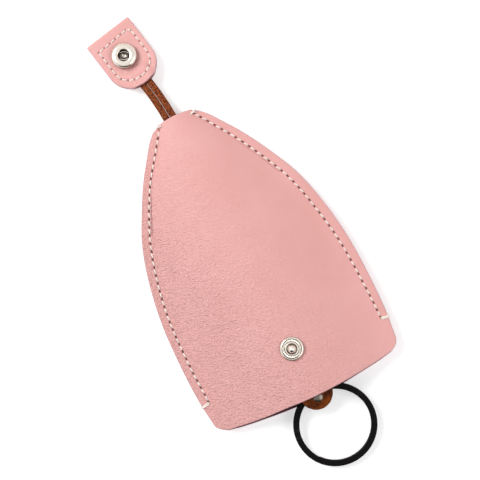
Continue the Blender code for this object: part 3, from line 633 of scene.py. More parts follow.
case = {
    "length": 0.1108, "halfWidth": 0.0372, "leather": 0.0012, "seamGap": 0.0003, "seamZ": 0.00465,
    "topY": 0.049261, "edgeRound": 0.00028, "frontRise": 0.0066, "slotRise": 0.0017, "riseLength": 0.060,
    "dropLength": 0.022, "domePower": 1.7, "slotPower": 0.7, "plateau": 0.55, "topTurn": 0.20,
    "mouthTurn": 0.12, "mouthArc": 0.66, "mouthCorner": 0.90, "mouthSkew": 0.00045, "mouthOverhang": 0.0012,
    "mouthSetback": 0.0007, "overhangPower": 24, "overhangLean": 0.25, "seamBed": 0.0009, "topBed": 0.1,
    "bedRise": 0.08, "swellX": -0.0095, "swellHalf": 0.0056, "swellFrom": 0.066, "swellHeight": 0.0009,
    "swellBack": 0.0003, "innerColumns": 30, "bedColumns": 7, "marginColumns": 16, "topRows": 6,
    "mouthRows": 34,
    "outline": [(0.019, 0.247), (0.045, 0.325), (0.087, 0.417), (0.144, 0.535), (0.226, 0.674),
                (0.329, 0.820), (0.451, 0.921), (0.587, 0.983), (0.731, 1.000), (0.848, 0.993),
                (0.916, 0.972), (0.9455, 0.961), (0.9576, 0.938)],
    "margins": {-1: [(0, 0.0034), (0.07, 0.0034), (0.115, 0.0032), (0.18, 0.00285), (0.26, 0.0026),
                     (0.34, 0.0027), (0.43, 0.0031), (0.54, 0.0029), (0.68, 0.00305), (0.74, 0.0031),
                     (0.80, 0.0028)],
                1: [(0, 0.0032), (0.03, 0.0030), (0.15, 0.0029), (0.25, 0.0031), (0.38, 0.0033),
                    (0.50, 0.0036), (0.58, 0.0034), (0.67, 0.0032), (0.73, 0.0029), (0.80, 0.0026)]},
}
seam = {
    "pitch": 0.00285, "firstHole": 0.0015, "lastDepth": 0.0962, "searchSteps": 2000, "rowsPerStitch": 10,
    "slitDepth": 0.00045, "slitHalf": 0.00066, "slitWidth": 0.00031, "groove": 0.00012,
    "grooveWidth": 0.00060, "holeReach": 5, "holeColumns": 9, "threadRadius": 0.00026, "wrapSteps": 14,
    "wrapLift": 1.05, "bite": 0.00006, "endRise": -0.0004, "endDrop": 0.0005,
    "endSpread": (-0.00028, 0.00028),
    "topSpread": {-1: (-0.0003, 0.0010), 1: (-0.00115, 0.00115)},
    "topShift": {-1: (0.0006, 0.0009), 1: (-0.0001, 0)},
}
seamStitch = {"Length": 0.00158, "Radius": seam["threadRadius"], "Arch": 0.00066, "Sink": 0.00036,
              "Slant": 0.16, "Twist": 9.0, "Seed": 7}


def sideEdge(place):
    depth, halfWidth = glide(case["outline"], place)
    return Vector((halfWidth * case["halfWidth"], depth * case["length"]))


sideEdgeStart, sideEdgeEnd = sideEdge(0), sideEdge(1)


def seamMargin(side, place):
    chain = case["margins"][side]
    return float(np.interp(place, [row[0] for row in chain], [row[1] for row in chain]))


def bedWidth(place):
    # how far the seam's flat reaches inward of the stitches: less at the top, so that the lace has room
    rise = ease(min(1, place / case["bedRise"]))
    return case["seamBed"] * (case["topBed"] + (1 - case["topBed"]) * rise)


def caseRow(side, place):
    # what one level of the case needs: its edge, the inner end of its seam, and that seam's width
    edge, step = sideEdge(place), 0.01
    along = sideEdge(min(1, place + step)) - sideEdge(max(0, place - step))
    square = Vector((-along.y, along.x)).normalized()
    turn = ease(place / case["topTurn"]) * ease((1 - place) / case["mouthTurn"])
    inward = Vector((-1, 0)).lerp(square, turn).normalized()
    width = seamMargin(side, place) + bedWidth(place)
    return edge, edge + inward * width, width


def panelPoint(side, row, inner, flange, place):
    # a place on a panel seen from above: inner runs from the middle to the seam, flange over the seam
    edge, bed, _ = row
    point = bed.lerp(edge, flange)
    point.x *= inner
    share = point.x / edge.x
    arc = case["mouthArc"] * share**2
    corner = max(0, share - case["mouthCorner"]) / (1 - case["mouthCorner"])
    point.y += place**3 * (case["length"] - sideEdgeEnd.y) * (1 - arc - (1 - case["mouthArc"]) * corner**2)
    point.y -= (1 - place) ** 3 * sideEdgeStart.y * (1 - share**2)
    return side * point.x, point.y + case["mouthSkew"] * side * share * place**3


def frontHeight(inner, depth):
    along = math.sin(math.pi / 2 * min(1, max(0, depth) / case["riseLength"]))
    rise = case["slotRise"] + (case["frontRise"] - case["slotRise"]) * along
    power = case["slotPower"] + (case["domePower"] - case["slotPower"]) * along
    return case["seamZ"] + case["seamGap"] / 2 + rise * max(0, 1 - inner**2) ** power


def backHeight(inner, depth):
    flat = case["seamZ"] - case["seamGap"] / 2 - case["leather"]
    drop = case["slotRise"] + (flat - case["slotRise"]) * ease(depth / case["dropLength"])
    level = 1 - ease((inner - case["plateau"]) / (1 - case["plateau"]))
    return case["seamZ"] - case["seamGap"] / 2 - drop * level


def swell(x, depth):
    # the front leather stands up in a soft fold to the left of the middle, near the mouth
    across = (x - case["swellX"]) / case["swellHalf"]
    return math.exp(-(across**2)) * ease((depth - case["swellFrom"]) / (case["length"] - case["swellFrom"]))


def seamPlaces():
    # where the needle holes lie along the case, the same on both sides
    run, places = [], []
    for step in range(seam["searchSteps"] + 1):
        place = step / seam["searchSteps"]
        row = caseRow(1, place)
        run.append(Vector(panelPoint(1, row, 1, bedWidth(place) / row[2], place)))
        places.append(place)
        if run[-1].y > seam["lastDepth"]:
            break
    lengths = measured(run)
    stitches = round((lengths[-1] - seam["firstHole"]) / seam["pitch"])
    found = []
    for k in range(stitches + 1):
        goal = seam["firstHole"] + (lengths[-1] - seam["firstHole"]) * k / stitches
        leg = max(0, int(np.searchsorted(lengths, goal)) - 1)
        share = (goal - lengths[leg]) / (lengths[leg + 1] - lengths[leg])
        found.append(places[leg] + (places[leg + 1] - places[leg]) * share)
    return found


holePlaces = seamPlaces()


def slitShape(away, run, half):
    # 1 in the slit that the awl cut, 0 outside it
    along = away @ run
    across = np.linalg.norm(away - along[..., None] * run, axis=-1)
    return np.exp(-((along / half) ** 4) - (across / seam["slitWidth"]) ** 4)


def grooveShape(away):
    return seam["groove"] * np.exp(-((away / seam["grooveWidth"]) ** 2))


def panelRows():
    # places from the top to the mouth, and which of them are rows of needle holes
    trim = case["edgeRound"] / case["length"]
    start, end, mouth = holePlaces[0], holePlaces[-1], 1 - trim
    rows, holeRows = [trim + (start - trim) * k / case["topRows"] for k in range(case["topRows"])], []
    for first, second in zip(holePlaces, holePlaces[1:]):
        holeRows.append(len(rows))
        rows += [first + (second - first) * k / seam["rowsPerStitch"] for k in range(seam["rowsPerStitch"])]
    holeRows.append(len(rows))
    rows += [end + (mouth - end) * k / case["mouthRows"] for k in range(case["mouthRows"] + 1)]
    return rows, holeRows


def casePanel(name, height, face, overhang):
    rows, holeRows = panelRows()
    # columns run from the middle out: the dome, the bed of the seam, then the margin outside it
    half = [("inner", k / case["innerColumns"]) for k in range(case["innerColumns"])]
    half += [("bed", k / case["bedColumns"]) for k in range(case["bedColumns"])]
    seamColumn, middle = len(half), len(half) + case["marginColumns"]
    half += [("margin", k / case["marginColumns"]) for k in range(case["marginColumns"] + 1)]
    columns = [(-1, kind, share) for kind, share in reversed(half)]
    columns += [(1, kind, share) for kind, share in half[1:]]
    inner = np.zeros((len(rows), len(columns), 3))
    for r, place in enumerate(rows):
        levels = {side: caseRow(side, place) for side in (-1, 1)}
        bed = bedWidth(place)
        for c, (side, kind, share) in enumerate(columns):
            row = levels[side]
            innerShare, flange = (share, 0) if kind == "inner" else (1, share * bed / row[2])
            if kind == "margin":
                flange = (bed + share * (row[2] - case["edgeRound"] - bed)) / row[2]
            x, depth = panelPoint(side, row, innerShare, flange, place)
            lie = x / row[0].x
            hang = overhang * place ** case["overhangPower"]
            depth += hang * (1 - lie**2) * (1 - case["overhangLean"] * lie)
            raised = swell(x, depth) if face > 0 else 0
            depth -= raised * case["swellBack"]
            inner[r, c] = (x, case["topY"] - depth, height(innerShare, depth) + raised * case["swellHeight"])
    normals = facingNormals(inner, face)
    outer = inner + normals * case["leather"]
    holes, sunk = np.zeros(inner.shape[:2]), np.zeros(inner.shape[:2])
    stitchHoles, stitchUps = {}, {}
    for side in (-1, 1):
        column = middle + side * seamColumn
        stitchHoles[side] = [outer[r, column].copy() for r in holeRows]
        stitchUps[side] = [normals[r, column].copy() for r in holeRows]
        near = slice(column - seam["holeColumns"], column + seam["holeColumns"] + 1)
        span = slice(holeRows[0], holeRows[-1] + 1)
        away = np.linalg.norm(outer[span, near] - outer[span, column:column + 1], axis=2)
        sunk[span, near] += grooveShape(away)
        for r in holeRows:
            span = slice(max(0, r - seam["holeReach"]), min(len(rows), r + seam["holeReach"] + 1))
            run = outer[min(len(rows) - 1, r + 1), column] - outer[r - 1, column]
            run /= np.linalg.norm(run)
            slit = slitShape(outer[span, near] - outer[r, column], run, seam["slitHalf"])
            sunk[span, near] += seam["slitDepth"] * slit
            # the slits are marked so that the pink leather paints them dark, as shade in the needle holes
            holes[span, near] = np.maximum(holes[span, near], slit)
    skin = outer.reshape(-1, 3).copy()
    outer -= normals * sunk[:, :, None]
    panel = leatherSheet(name, inner, outer, case["edgeRound"], {"needleHole": holes}, looks["pink"])
    return panel, stitchHoles, stitchUps, skin


frontPanel, frontHoles, frontUps, frontSkin = casePanel("caseFront", frontHeight, 1, -case["mouthSetback"])
backPanel, backHoles, backUps, backSkin = casePanel("caseBack", backHeight, -1, case["mouthOverhang"])
print("panels shaped", len(holePlaces), "needle holes in each seam")


def restOn(skin, point):
    # the same place, at the height of the panel's outer face
    nearest = np.argmin((skin[:, 0] - point.x) ** 2 + (skin[:, 1] - point.y) ** 2)
    return Vector((point.x, point.y, skin[nearest, 2]))


def edgeTurn(name, front, back, edge, out, spread, start):
    # a turn of thread from the front hole over the edge to the back hole
    # spread moves its turn along the edge, start moves its holes
    edge, out = Vector(edge), Vector(out)
    aside = Vector((-out.y, out.x, 0))
    slide, reach = aside * spread, out * seam["bite"]
    front = restOn(frontSkin, Vector(front) + aside * start)
    back = restOn(backSkin, Vector(back) + aside * start)
    lift = Vector((0, 0, seam["threadRadius"] * seam["wrapLift"]))
    upper, lower = Vector((edge.x, edge.y, front.z)), Vector((edge.x, edge.y, back.z))
    points = [front - lift * 0.6, front + lift * 0.7, upper + slide * 0.7 + lift * 0.9, upper + slide + reach,
              lower + slide + reach, lower + slide * 0.7 - lift * 0.9, back - lift * 0.7, back + lift * 0.6]
    return roundWire(name, evenly(points, seam["wrapSteps"]), seam["threadRadius"], looks["thread"])


def topEdgeDepth(side, x):
    # the depth of the top edge at a place across it
    row = caseRow(side, 0)
    low, high = 0, 1
    for _ in range(30):
        middle = (low + high) / 2
        low, high = (middle, high) if abs(panelPoint(side, row, 1, middle, 0)[0]) < abs(x) else (low, middle)
    return panelPoint(side, row, 1, low, 0)[1]


def sewCase():
    rows = []
    for side in (-1, 1):
        for face, turned, holes, ups in (("Front", 1, frontHoles, frontUps),
                                         ("Back", -1, backHoles, backUps)):
            rows.append(sewRow(f"seam{face}{side}", holes[side], ups[side], seamStitch, turned * side))
        drop = (0, seam["endDrop"], 0)
        front, back = [np.array(holes[side][-1]) - drop for holes in (frontHoles, backHoles)]
        edge = (side * caseRow(side, holePlaces[-1])[0].x, front[1] + seam["endRise"], case["seamZ"])
        for spread in seam["endSpread"]:
            rows.append(edgeTurn(f"endWrap{side}{spread}", front, back, edge, (side, 0, 0), spread * side,
                                 spread * side))
        shift = (*seam["topShift"][side], 0)
        front, back = [np.array(holes[side][0]) + shift for holes in (frontHoles, backHoles)]
        edge = (front[0], case["topY"] - topEdgeDepth(side, front[0]), case["seamZ"])
        for spread in seam["topSpread"][side]:
            rows.append(edgeTurn(f"topWrap{side}{spread}", front, back, edge, (0, 1, 0), spread, -spread))
    return joinPieces("caseStitches", rows, looks["thread"])


handOver(frontPanel, "case", "pink_leather", "front_panel")
handOver(backPanel, "case", "pink_leather", "back_panel")
caseStitches = sewCase()
handOver(caseStitches, "case", "thread", "seam_thread_left_front", "seam_thread_left_back",
         "seam_thread_right_front", "seam_thread_right_back")
print("case sewn")


# turned metal pieces

metal = {"onAxis": 1e-7, "seatGap": 0.00005}


def softened(profile, radius, steps=4, closed=False):
    # rounds the corners of a run of (radius, height) pairs
    points, found = [Vector(pair) for pair in profile], []
    for k, corner in enumerate(points):
        if not closed and k in (0, len(points) - 1):
            found.append(corner)
            continue
        before, after = points[k - 1] - corner, points[(k + 1) % len(points)] - corner
        reach = min(radius, before.length * 0.45, after.length * 0.45)
        start, end = corner + before.normalized() * reach, corner + after.normalized() * reach
        for step in range(steps + 1):
            share = step / steps
            found.append(start.lerp(corner, share).lerp(corner.lerp(end, share), share))
    return found


def spun(name, profile, steps, place, closed=False, dark=None):
    # a nickel profile turned about its own Z, then put in place
    # dark gives how much painted shade each place of the profile gets, as (radius, height, value) rows
    rings, paintedShades = [], []
    made = bmesh.new()
    for radius, height in profile:
        value = min(dark, key=lambda row: math.hypot(row[0] - radius, row[1] - height))[2] if dark else 0.0
        turns = [2 * math.pi * k / steps for k in range(1 if radius < metal["onAxis"] else steps)]
        radius = 0 if len(turns) == 1 else radius
        rings.append([made.verts.new((radius * math.cos(turn), radius * math.sin(turn), height))
                      for turn in turns])
        paintedShades += [value] * len(turns)
    for first, second in list(zip(rings, rings[1:])) + ([(rings[-1], rings[0])] if closed else []):
        for k in range(steps):
            n = (k + 1) % steps
            corners = list(dict.fromkeys([first[k % len(first)], first[n % len(first)],
                                          second[n % len(second)], second[k % len(second)]]))
            if len(corners) > 2:
                made.faces.new(corners)
    bmesh.ops.recalc_face_normals(made, faces=made.faces)
    made.transform(place)
    mesh = bpy.data.meshes.new(name)
    made.to_mesh(mesh)
    made.free()
    mark(mesh, "recess", paintedShades)
    return dress(addPiece(name, mesh), looks["nickel"])


stud = {
    "x": 0.0009, "depth": 0.0917, "height": 0.0036, "ball": 0.0015, "neck": 0.0011, "ballSteps": 18,
    "ridges": 40, "ridgeFrom": 0.00252, "ridgeTo": 0.00342, "ridgeWidth": 0.00024, "ridgeHeight": 0.00062,
    "grooveFloor": 0.00055, "softness": 0.00012, "turn": 96,
    "flange": [(0.0011, 0.00075), (0.00172, 0.00070), (0.00190, 0.00102), (0.00242, 0.00106),
               (0.00252, 0.00055), (0.00342, 0.00055), (0.00352, 0.00100), (0.00382, 0.00102),
               (0.00417, 0.00072), (0.0042, 0.00010), (0.0038, 0), (0, 0)],
    # dark: painted shade, deep in the ridge groove and round the ball's neck, and on the steep outer wall
    "dark": [(0, 0.0036, 0), (0.0015, 0.0021, 0.1), (0.0012, 0.0014, 0.6), (0.0011, 0.00085, 0.9),
             (0.0015, 0.00072, 0.85), (0.00176, 0.0008, 0.4), (0.0019, 0.001, 0), (0.0024, 0.00106, 0),
             (0.00252, 0.0007, 0.7), (0.0026, 0.00055, 0.85), (0.003, 0.00055, 0.85), (0.0034, 0.00055, 0.85),
             (0.00345, 0.0008, 0.5), (0.0035, 0.001, 0), (0.0039, 0.00102, 0), (0.0041, 0.0008, 0.12),
             (0.0042, 0.0006, 0.45), (0.0042, 0.0001, 0.75)],
}


def ridgeTree():
    # small ridges set round a circle
    tree, into, out = newTree("ridgeRing", "GeometryNodeTree", {
        "Geometry": "Geometry", "Count": 40, "Radius": 0.003, "Length": 0.001, "Width": 0.0002,
        "Height": 0.0002, "Material": "Material",
    }, {"Geometry": "Geometry"})
    circle = put(tree, "GeometryNodeCurvePrimitiveCircle", {"Resolution": into["Count"],
                 "Radius": into["Radius"]})
    points = put(tree, "GeometryNodeCurveToPoints", {"Curve": circle, "Count": into["Count"]})
    size = put(tree, "ShaderNodeCombineXYZ", {"X": into["Width"], "Y": into["Length"], "Z": into["Height"]})
    ball = put(tree, "GeometryNodeMeshIcoSphere", {"Radius": 0.5, "Subdivisions": 2})
    placed = put(tree, "GeometryNodeInstanceOnPoints", {"Points": points, "Instance": ball,
                 "Rotation": points.outputs["Rotation"], "Scale": size})
    return endTree(tree, into, out, placed)


ridgeNodes = ridgeTree()


def buildStud():
    low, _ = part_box("snap_stud")
    centre, neckAngle = stud["height"] - stud["ball"], -math.acos(stud["neck"] / stud["ball"])
    profile = [(0, stud["height"])]
    for step in range(1, stud["ballSteps"] + 1):
        angle = math.pi / 2 + (neckAngle - math.pi / 2) * step / stud["ballSteps"]
        profile.append((stud["ball"] * math.cos(angle), centre + stud["ball"] * math.sin(angle)))
    profile += softened([profile[-1]] + stud["flange"], stud["softness"])[1:]
    place = Matrix.Translation((stud["x"], case["topY"] - stud["depth"], low.z))
    flange = spun("studFlange", profile, stud["turn"], place, False, stud["dark"])
    ridges = growFrom([(0, 0, 0)], [], ridgeNodes, {
        "Count": stud["ridges"], "Radius": (stud["ridgeFrom"] + stud["ridgeTo"]) / 2,
        "Length": stud["ridgeWidth"], "Width": stud["ridgeTo"] - stud["ridgeFrom"],
        "Height": stud["ridgeHeight"], "Material": looks["nickel"]}, "studRidges")
    ridges.data.transform(place @ Matrix.Translation((0, 0, stud["grooveFloor"])))
    return joinPieces("snapStud", [flange, ridges], looks["nickel"])


handOver(buildStud(), "case", "nickel", "snap_stud")
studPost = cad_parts["snap_stud_post"].data
studPost.materials.clear()
studPost.materials.append(looks["nickel"])
print("snap stud made")


# the pull tab

tab = {
    "hinge": (-0.002864, 0.062461, 0.00555), "lean": math.radians(11.1), "droop": math.radians(5.5669),
    "halfWidth": 0.00925, "roundDepth": 0.0087, "leather": 0.0012, "leafGap": 0.0003, "hingeGap": 0.0022,
    "middle": -0.0009, "laceDepth": 0.0042, "laceClearance": 0.00025, "bulgeBlend": 0.0027, "foldY": 0.0253,
    "stitchSide": 0.0023, "stitchFold": 0.0040, "stitchSlope": 0.0003, "stitchShift": 0.0002,
    "stitchTip": 0.0026, "stitchPitch": 0.0025, "tipSteps": 24, "grooveSteps": 160, "slitHalf": 0.00032,
    "slitShare": 0.7, "socketX": -0.00035, "snapY": 0.0143, "dent": 0.00022, "dentRadius": 0.0058,
    "columns": 104, "leafRows": 112, "foldRows": 16, "edgeRound": 0.00028, "faceLimit": 0.3, "far": 9.0,
}
tabStitch = {"Length": 0.00160, "Radius": 0.00025, "Arch": 0.00056, "Sink": 0.00028, "Slant": 0.12,
             "Twist": 9.0, "Seed": 3}
lace = {
    "width": 0.0023, "drawnWidth": 0.00245, "thickness": 0.0016, "strandGap": 0.00025, "topX": -0.0012,
    "exitLean": math.radians(3.2), "outside": 0.0132, "loopRadius": 0.0024, "loopTaper": 0.0070,
    "corner": 0.00050, "cornerSteps": 4, "wobble": 0.00016, "splitGap": 0.0004, "runSteps": 110,
    "loopSteps": 16, "legSteps": 5, "turnSteps": 10,
}
holder = {
    "x": 0.0016, "halfWidth": 0.0061, "length": 0.0262, "tipInset": 0.0040, "leather": 0.0010,
    "halfGap": 0.0015, "tipClosing": 0.0007, "topDepth": 0.0896, "upperDepth": 0.0940, "lowerDepth": 0.1115,
    "columns": 48, "rows": 72, "edgeRound": 0.00026,
}
strandOffset = (lace["width"] + lace["strandGap"]) / 2
tabPlace = Matrix.Translation(tab["hinge"]) @ Euler((-tab["droop"], 0, tab["lean"])).to_matrix().to_4x4()


def tonguePoint(across, along, halfWidth, length, roundDepth):
    # a place on a strip with a round end
    straight = length - roundDepth
    turnStart = straight / length
    turn = max(0, (along - turnStart) / (1 - turnStart))
    angle = turn * math.pi / 4
    x = across * halfWidth * math.cos(angle)
    level = min(1, along / turnStart) * straight + roundDepth * math.sin(angle)
    arc = straight + roundDepth * math.sqrt(1 - (x / halfWidth) ** 2)
    return x, level + turn**2 * (arc - level)


def tabHalfGap(x, y):
    # the leaves stand apart over the lace and close beside it
    side = strandOffset + lace["width"] / 2 + tab["laceClearance"]
    top = tab["hingeGap"] + tab["laceDepth"] + tab["laceClearance"]
    over = ease(1 - (abs(x) - side) / tab["bulgeBlend"]) * ease(1 - (y - top) / tab["bulgeBlend"])
    closed = tab["leafGap"] / 2
    return closed + over * (lace["thickness"] / 2 + tab["laceClearance"] - closed)


def tabRun():
    # the line of the tab's stitches, as needle holes
    side, top = tab["halfWidth"] - tab["stitchSide"], tab["foldY"] - tab["stitchFold"]
    centre, depth = tab["hingeGap"] + tab["roundDepth"], tab["roundDepth"] - tab["stitchTip"]
    run = [Vector((-side, top - tab["stitchSlope"])), Vector((side, top + tab["stitchSlope"]))]
    for step in range(tab["tipSteps"] + 1):
        angle = -math.pi * step / tab["tipSteps"]
        run.append(Vector((side * math.cos(angle), centre + depth * math.sin(angle))))
    run = [point + Vector((tab["stitchShift"], 0)) for point in run]
    return evenly(run, round(measured(run + run[:1])[-1] / tab["stitchPitch"]), True)


def tabInner():
    # the inner face of the folded leather, from one round end over the fold to the other
    rows, columns, trim = 2 * tab["leafRows"] + tab["foldRows"], tab["columns"], tab["edgeRound"]
    bend, fold = tab["leafGap"] / 2, tab["foldRows"] / rows
    base = tab["foldY"] - bend - tab["leather"]
    length = base - tab["hingeGap"] - trim
    inner = np.zeros((rows + 1, columns + 1, 3))
    for r in range(rows + 1):
        along = 2 * r / rows - 1
        for c in range(columns + 1):
            across = 2 * c / columns - 1
            if abs(along) < fold:
                angle = math.pi / 2 * along / fold
                inner[r, c] = (across * (tab["halfWidth"] - trim), base + bend * math.cos(angle),
                               tab["middle"] + bend * math.sin(angle))
            else:
                share = (abs(along) - fold) / (1 - fold)
                x, out = tonguePoint(across, share, tab["halfWidth"] - trim, length, tab["roundDepth"] - trim)
                gap = tabHalfGap(x, base - out)
                inner[r, c] = (x, base - out, tab["middle"] + math.copysign(gap, along))
    return inner


def buildTab():
    inner = tabInner()
    normals = surfaceNormals(inner)
    if normals[-1, tab["columns"] // 2, 2] < 0:
        normals = -normals
    outer = inner + normals * tab["leather"]
    flat, flatNormals = outer.reshape(-1, 3), normals.reshape(-1, 3)
    holes, sunk = np.zeros(len(flat)), np.zeros(len(flat))
    run, turn, sewn = tabRun(), tabPlace.to_3x3(), []

    def apart(point):
        return np.stack([flat[:, 0] - point[0], flat[:, 1] - point[1]], axis=1)

    for face, name in ((1, "Front"), (-1, "Back")):
        chosen = flatNormals[:, 2] * face > tab["faceLimit"]
        line = np.full(len(flat), tab["far"])
        for point in evenly(run, tab["grooveSteps"], True):
            line = np.minimum(line, np.hypot(*apart(point).T))
        sunk += np.where(chosen, grooveShape(line), 0)
        points, ups = [], []
        for k, point in enumerate(run):
            away = apart(point)
            nearest = int(np.argmin(np.where(chosen, np.hypot(*away.T), tab["far"])))
            points.append(tabPlace @ Vector((point.x, point.y, flat[nearest][2])))
            ups.append(turn @ Vector(flatNormals[nearest]))
            way = np.array((run[(k + 1) % len(run)] - run[k - 1]).normalized())
            slit = np.where(chosen, tab["slitShare"] * slitShape(away, way, tab["slitHalf"]), 0)
            sunk += seam["slitDepth"] * slit
            # the slits are marked so that the pink leather paints them dark, as shade in the needle holes
            holes = np.maximum(holes, slit)
        sewn.append(sewRow(f"tabRow{name}", points + points[:1], ups + ups[:1], tabStitch, face))
        if face == 1:
            away = np.hypot(*apart((tab["socketX"], tab["snapY"])).T) / tab["dentRadius"]
            sunk += np.where(chosen, tab["dent"] * np.exp(-(away**4)), 0)
    outer -= normals * sunk.reshape(inner.shape[:2])[:, :, None]
    piece = leatherSheet("pullTab", inner, outer, tab["edgeRound"], {"needleHole": holes}, looks["pink"])
    piece.data.transform(tabPlace)
    return piece, joinPieces("tabStitches", sewn, looks["thread"])


pullTab, tabStitches = buildTab()
handOver(pullTab, "tab", "pink_leather", "pull_tab")
handOver(tabStitches, "tab", "thread", "tab_thread_front", "tab_thread_back")
print("pull tab sewn")


# snap socket, spring and cap

socket = {
    "radius": 0.0046, "height": 0.0025, "bore": 0.0020, "chamber": 0.0027, "chamberHeight": 0.0012,
    "floor": 0.0005, "post": 0.0011, "postRoom": 0.0003, "wire": 0.00022, "capRadius": 0.0050,
    "capHeight": 0.0012, "capRim": 0.30, "capSteps": 12, "headRadius": 0.0018, "headHeight": 0.0004,
    "dish": 0.00035, "dishRadius": 0.0010, "shellSoftness": 0.00018, "capSoftness": 0.00010, "turn": 96,
    "springReach": 0.00152, "springTurn": math.radians(55), "springSpan": math.radians(130),
    "springSteps": 24,
    # dark: painted shade, deepest in the bore and the chamber, and on the steep outer wall
    "dark": [(0.0020, 0.0022, 0.85), (0.0020, 0.0017, 0.97), (0.00222, 0.00244, 0.0), (0.0030, 0.0025, 0.0),
             (0.0036, 0.0025, 0.0), (0.0041, 0.0023, 0.0), (0.0044, 0.0019, 0.05), (0.00455, 0.0016, 0.30),
             (0.0046, 0.0012, 0.75), (0.0046, 0.0004, 0.9), (0.0043, 0, 0.8), (0.0014, 0, 0.97),
             (0.0014, 0.0005, 0.97), (0.0027, 0.0005, 0.97), (0.0027, 0.0017, 0.97), (0.0023, 0.0017, 0.97)],
    # capDark: painted shade on the cap, grey on its dished head, dark at the head's rim and down the post
    "capDark": [(0, 0.0006, 0.45), (0.0008, 0.00075, 0.45), (0.00105, 0.00095, 0.9), (0.0018, 0.0009, 0.97),
                (0.0011, 0.0002, 0.97), (0.0011, -0.0027, 0.8), (0.0050, -0.0027, 0.2), (0.0050, -0.0031, 0),
                (0, -0.0039, 0)],
}


def buildSocket():
    leaf = tab["leafGap"] / 2 + tab["leather"] + metal["seatGap"]
    place = tabPlace @ Matrix.Translation((tab["socketX"], tab["snapY"], tab["middle"] + leaf))
    r, h, bore, chamber = [socket[label] for label in ("radius", "height", "bore", "chamber")]
    floorZ, post, headRadius = socket["floor"], socket["post"], socket["headRadius"]
    ceiling, throat = floorZ + socket["chamberHeight"], post + socket["postRoom"]
    shell = [(bore, h - 0.00035), (bore + 0.00022, h - 0.00006), (r * 0.62, h), (r * 0.76, h * 0.99),
             (r * 0.89, h * 0.90), (r * 0.965, h * 0.74), (r, h * 0.50), (r, h * 0.16), (r * 0.93, 0),
             (throat, 0), (throat, floorZ), (chamber, floorZ), (chamber, ceiling), (bore, ceiling)]
    body = spun("snapSocket", softened(shell, socket["shellSoftness"], 4, True), socket["turn"], place, True,
                socket["dark"])
    head, under = floorZ + metal["seatGap"] + socket["headHeight"], -2 * leaf
    dish, dishRadius, headFoot = socket["dish"], socket["dishRadius"], head - socket["headHeight"]
    capRadius, capHeight, rim = socket["capRadius"], socket["capHeight"], socket["capRim"]
    cap = [(0, head - dish), (dishRadius * 0.6, head - dish * 0.75), (dishRadius, head), (headRadius, head),
           (headRadius, headFoot), (post, headFoot), (post, under), (capRadius, under),
           (capRadius, under - capHeight * rim)]
    for step in range(1, socket["capSteps"]):
        angle = math.pi / 2 * step / socket["capSteps"]
        cap.append((capRadius * math.cos(angle), under - capHeight * (rim + (1 - rim) * math.sin(angle))))
    cap.append((0, under - capHeight))
    back = spun("snapCap", softened(cap, socket["capSoftness"], 3), socket["turn"], place, False,
                socket["capDark"])
    # the spring: an open ring of wire whose two ends curl in across the bore
    height, near = (head + ceiling) / 2, socket["springReach"]
    far = chamber - socket["wire"] - metal["seatGap"]
    wires = []
    for side in (1, -1):
        path = []
        for step in range(socket["springSteps"] + 1):
            share = step / socket["springSteps"]
            angle = socket["springSpan"] * (share - 0.5) + socket["springTurn"]
            reach = side * (near + (far - near) * abs(2 * share - 1) ** 4)
            path.append(place @ Vector((reach * math.cos(angle), reach * math.sin(angle), height)))
        wires.append(roundWire(f"springWire{side}", path, socket["wire"], looks["nickel"]))
    return body, back, joinPieces("socketSpring", wires, looks["nickel"])


snapSocket, snapCap, socketSpring = buildSocket()
handOver(snapSocket, "tab", "nickel", "snap_socket")
handOver(snapCap, "tab", "nickel", "snap_cap")
handOver(socketSpring, "tab", "nickel", "socket_spring")
print("snap socket made")


# the lace, one loop from the tab to the ring holder

def laceMiddle(y):
    if y < 0:
        slope = (holder["x"] - lace["topX"]) / holder["upperDepth"]
        return lace["topX"] - slope * y, math.atan(slope)
    slope = math.tan(lace["exitLean"])
    bend = (math.tan(tab["lean"]) - slope) / lace["outside"]
    return lace["topX"] - slope * y - bend * y**2 / 2, math.atan(slope + bend * y)


def strandPoint(y, side):
    x, lean = laceMiddle(y)
    spread = ease(1 - (y + holder["upperDepth"]) / lace["loopTaper"])
    offset = side * (strandOffset + (lace["loopRadius"] - strandOffset) * spread)
    level = case["topY"] + y + offset * math.sin(lean) * (1 - spread)
    return x + offset * math.cos(lean), level, case["seamZ"]


def buildLace():
    gap, steps, legs, turns = lace["splitGap"] / 2, lace["runSteps"], lace["legSteps"], lace["turnSteps"]
    top, offset = lace["outside"] - gap, strandOffset
    levels = [top - (top + holder["upperDepth"]) * k / steps for k in range(steps)]
    left, right = [strandPoint(y, -1) for y in levels], [strandPoint(y, 1) for y in reversed(levels)]
    centreY, loop = case["topY"] - holder["upperDepth"], []
    for k in range(lace["loopSteps"] + 1):
        angle = math.pi * (1 + k / lace["loopSteps"])
        loop.append((holder["x"] + lace["loopRadius"] * math.cos(angle),
                     centreY + lace["loopRadius"] * math.sin(angle), case["seamZ"]))
    # the bight inside the tab
    turn = tab["hingeGap"] + tab["laceDepth"] - offset - lace["width"] / 2
    bight = [(offset, gap + (turn - gap) * k / legs) for k in range(legs)]
    bight += [(offset * math.cos(math.pi * k / turns), turn + offset * math.sin(math.pi * k / turns))
              for k in range(turns + 1)]
    bight += [(-offset, turn + (gap - turn) * k / legs) for k in range(1, legs + 1)]
    over = [tuple(tabPlace @ Vector((x, y, tab["middle"]))) for x, y in bight]
    return followPath("lace", left + loop + right + over, {
        "Width": lace["drawnWidth"], "Thickness": lace["thickness"], "Corner": lace["corner"],
        "Corner Steps": lace["cornerSteps"], "Wobble": lace["wobble"]}, looks["lace"], True)


laceStrip = dress(buildLace(), looks["lace"])
hingePoint = Vector(tab["hinge"])
tabWay = (tabPlace.to_3x3() @ Vector((0, 1, 0))).normalized()
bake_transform(laceStrip, "strap", "tab", start=hingePoint - tabWay * 0.0012, end=hingePoint + tabWay * 0.0018)
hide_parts("lace", "lace_bight")
print("lace run")


# ring holder with its rivets

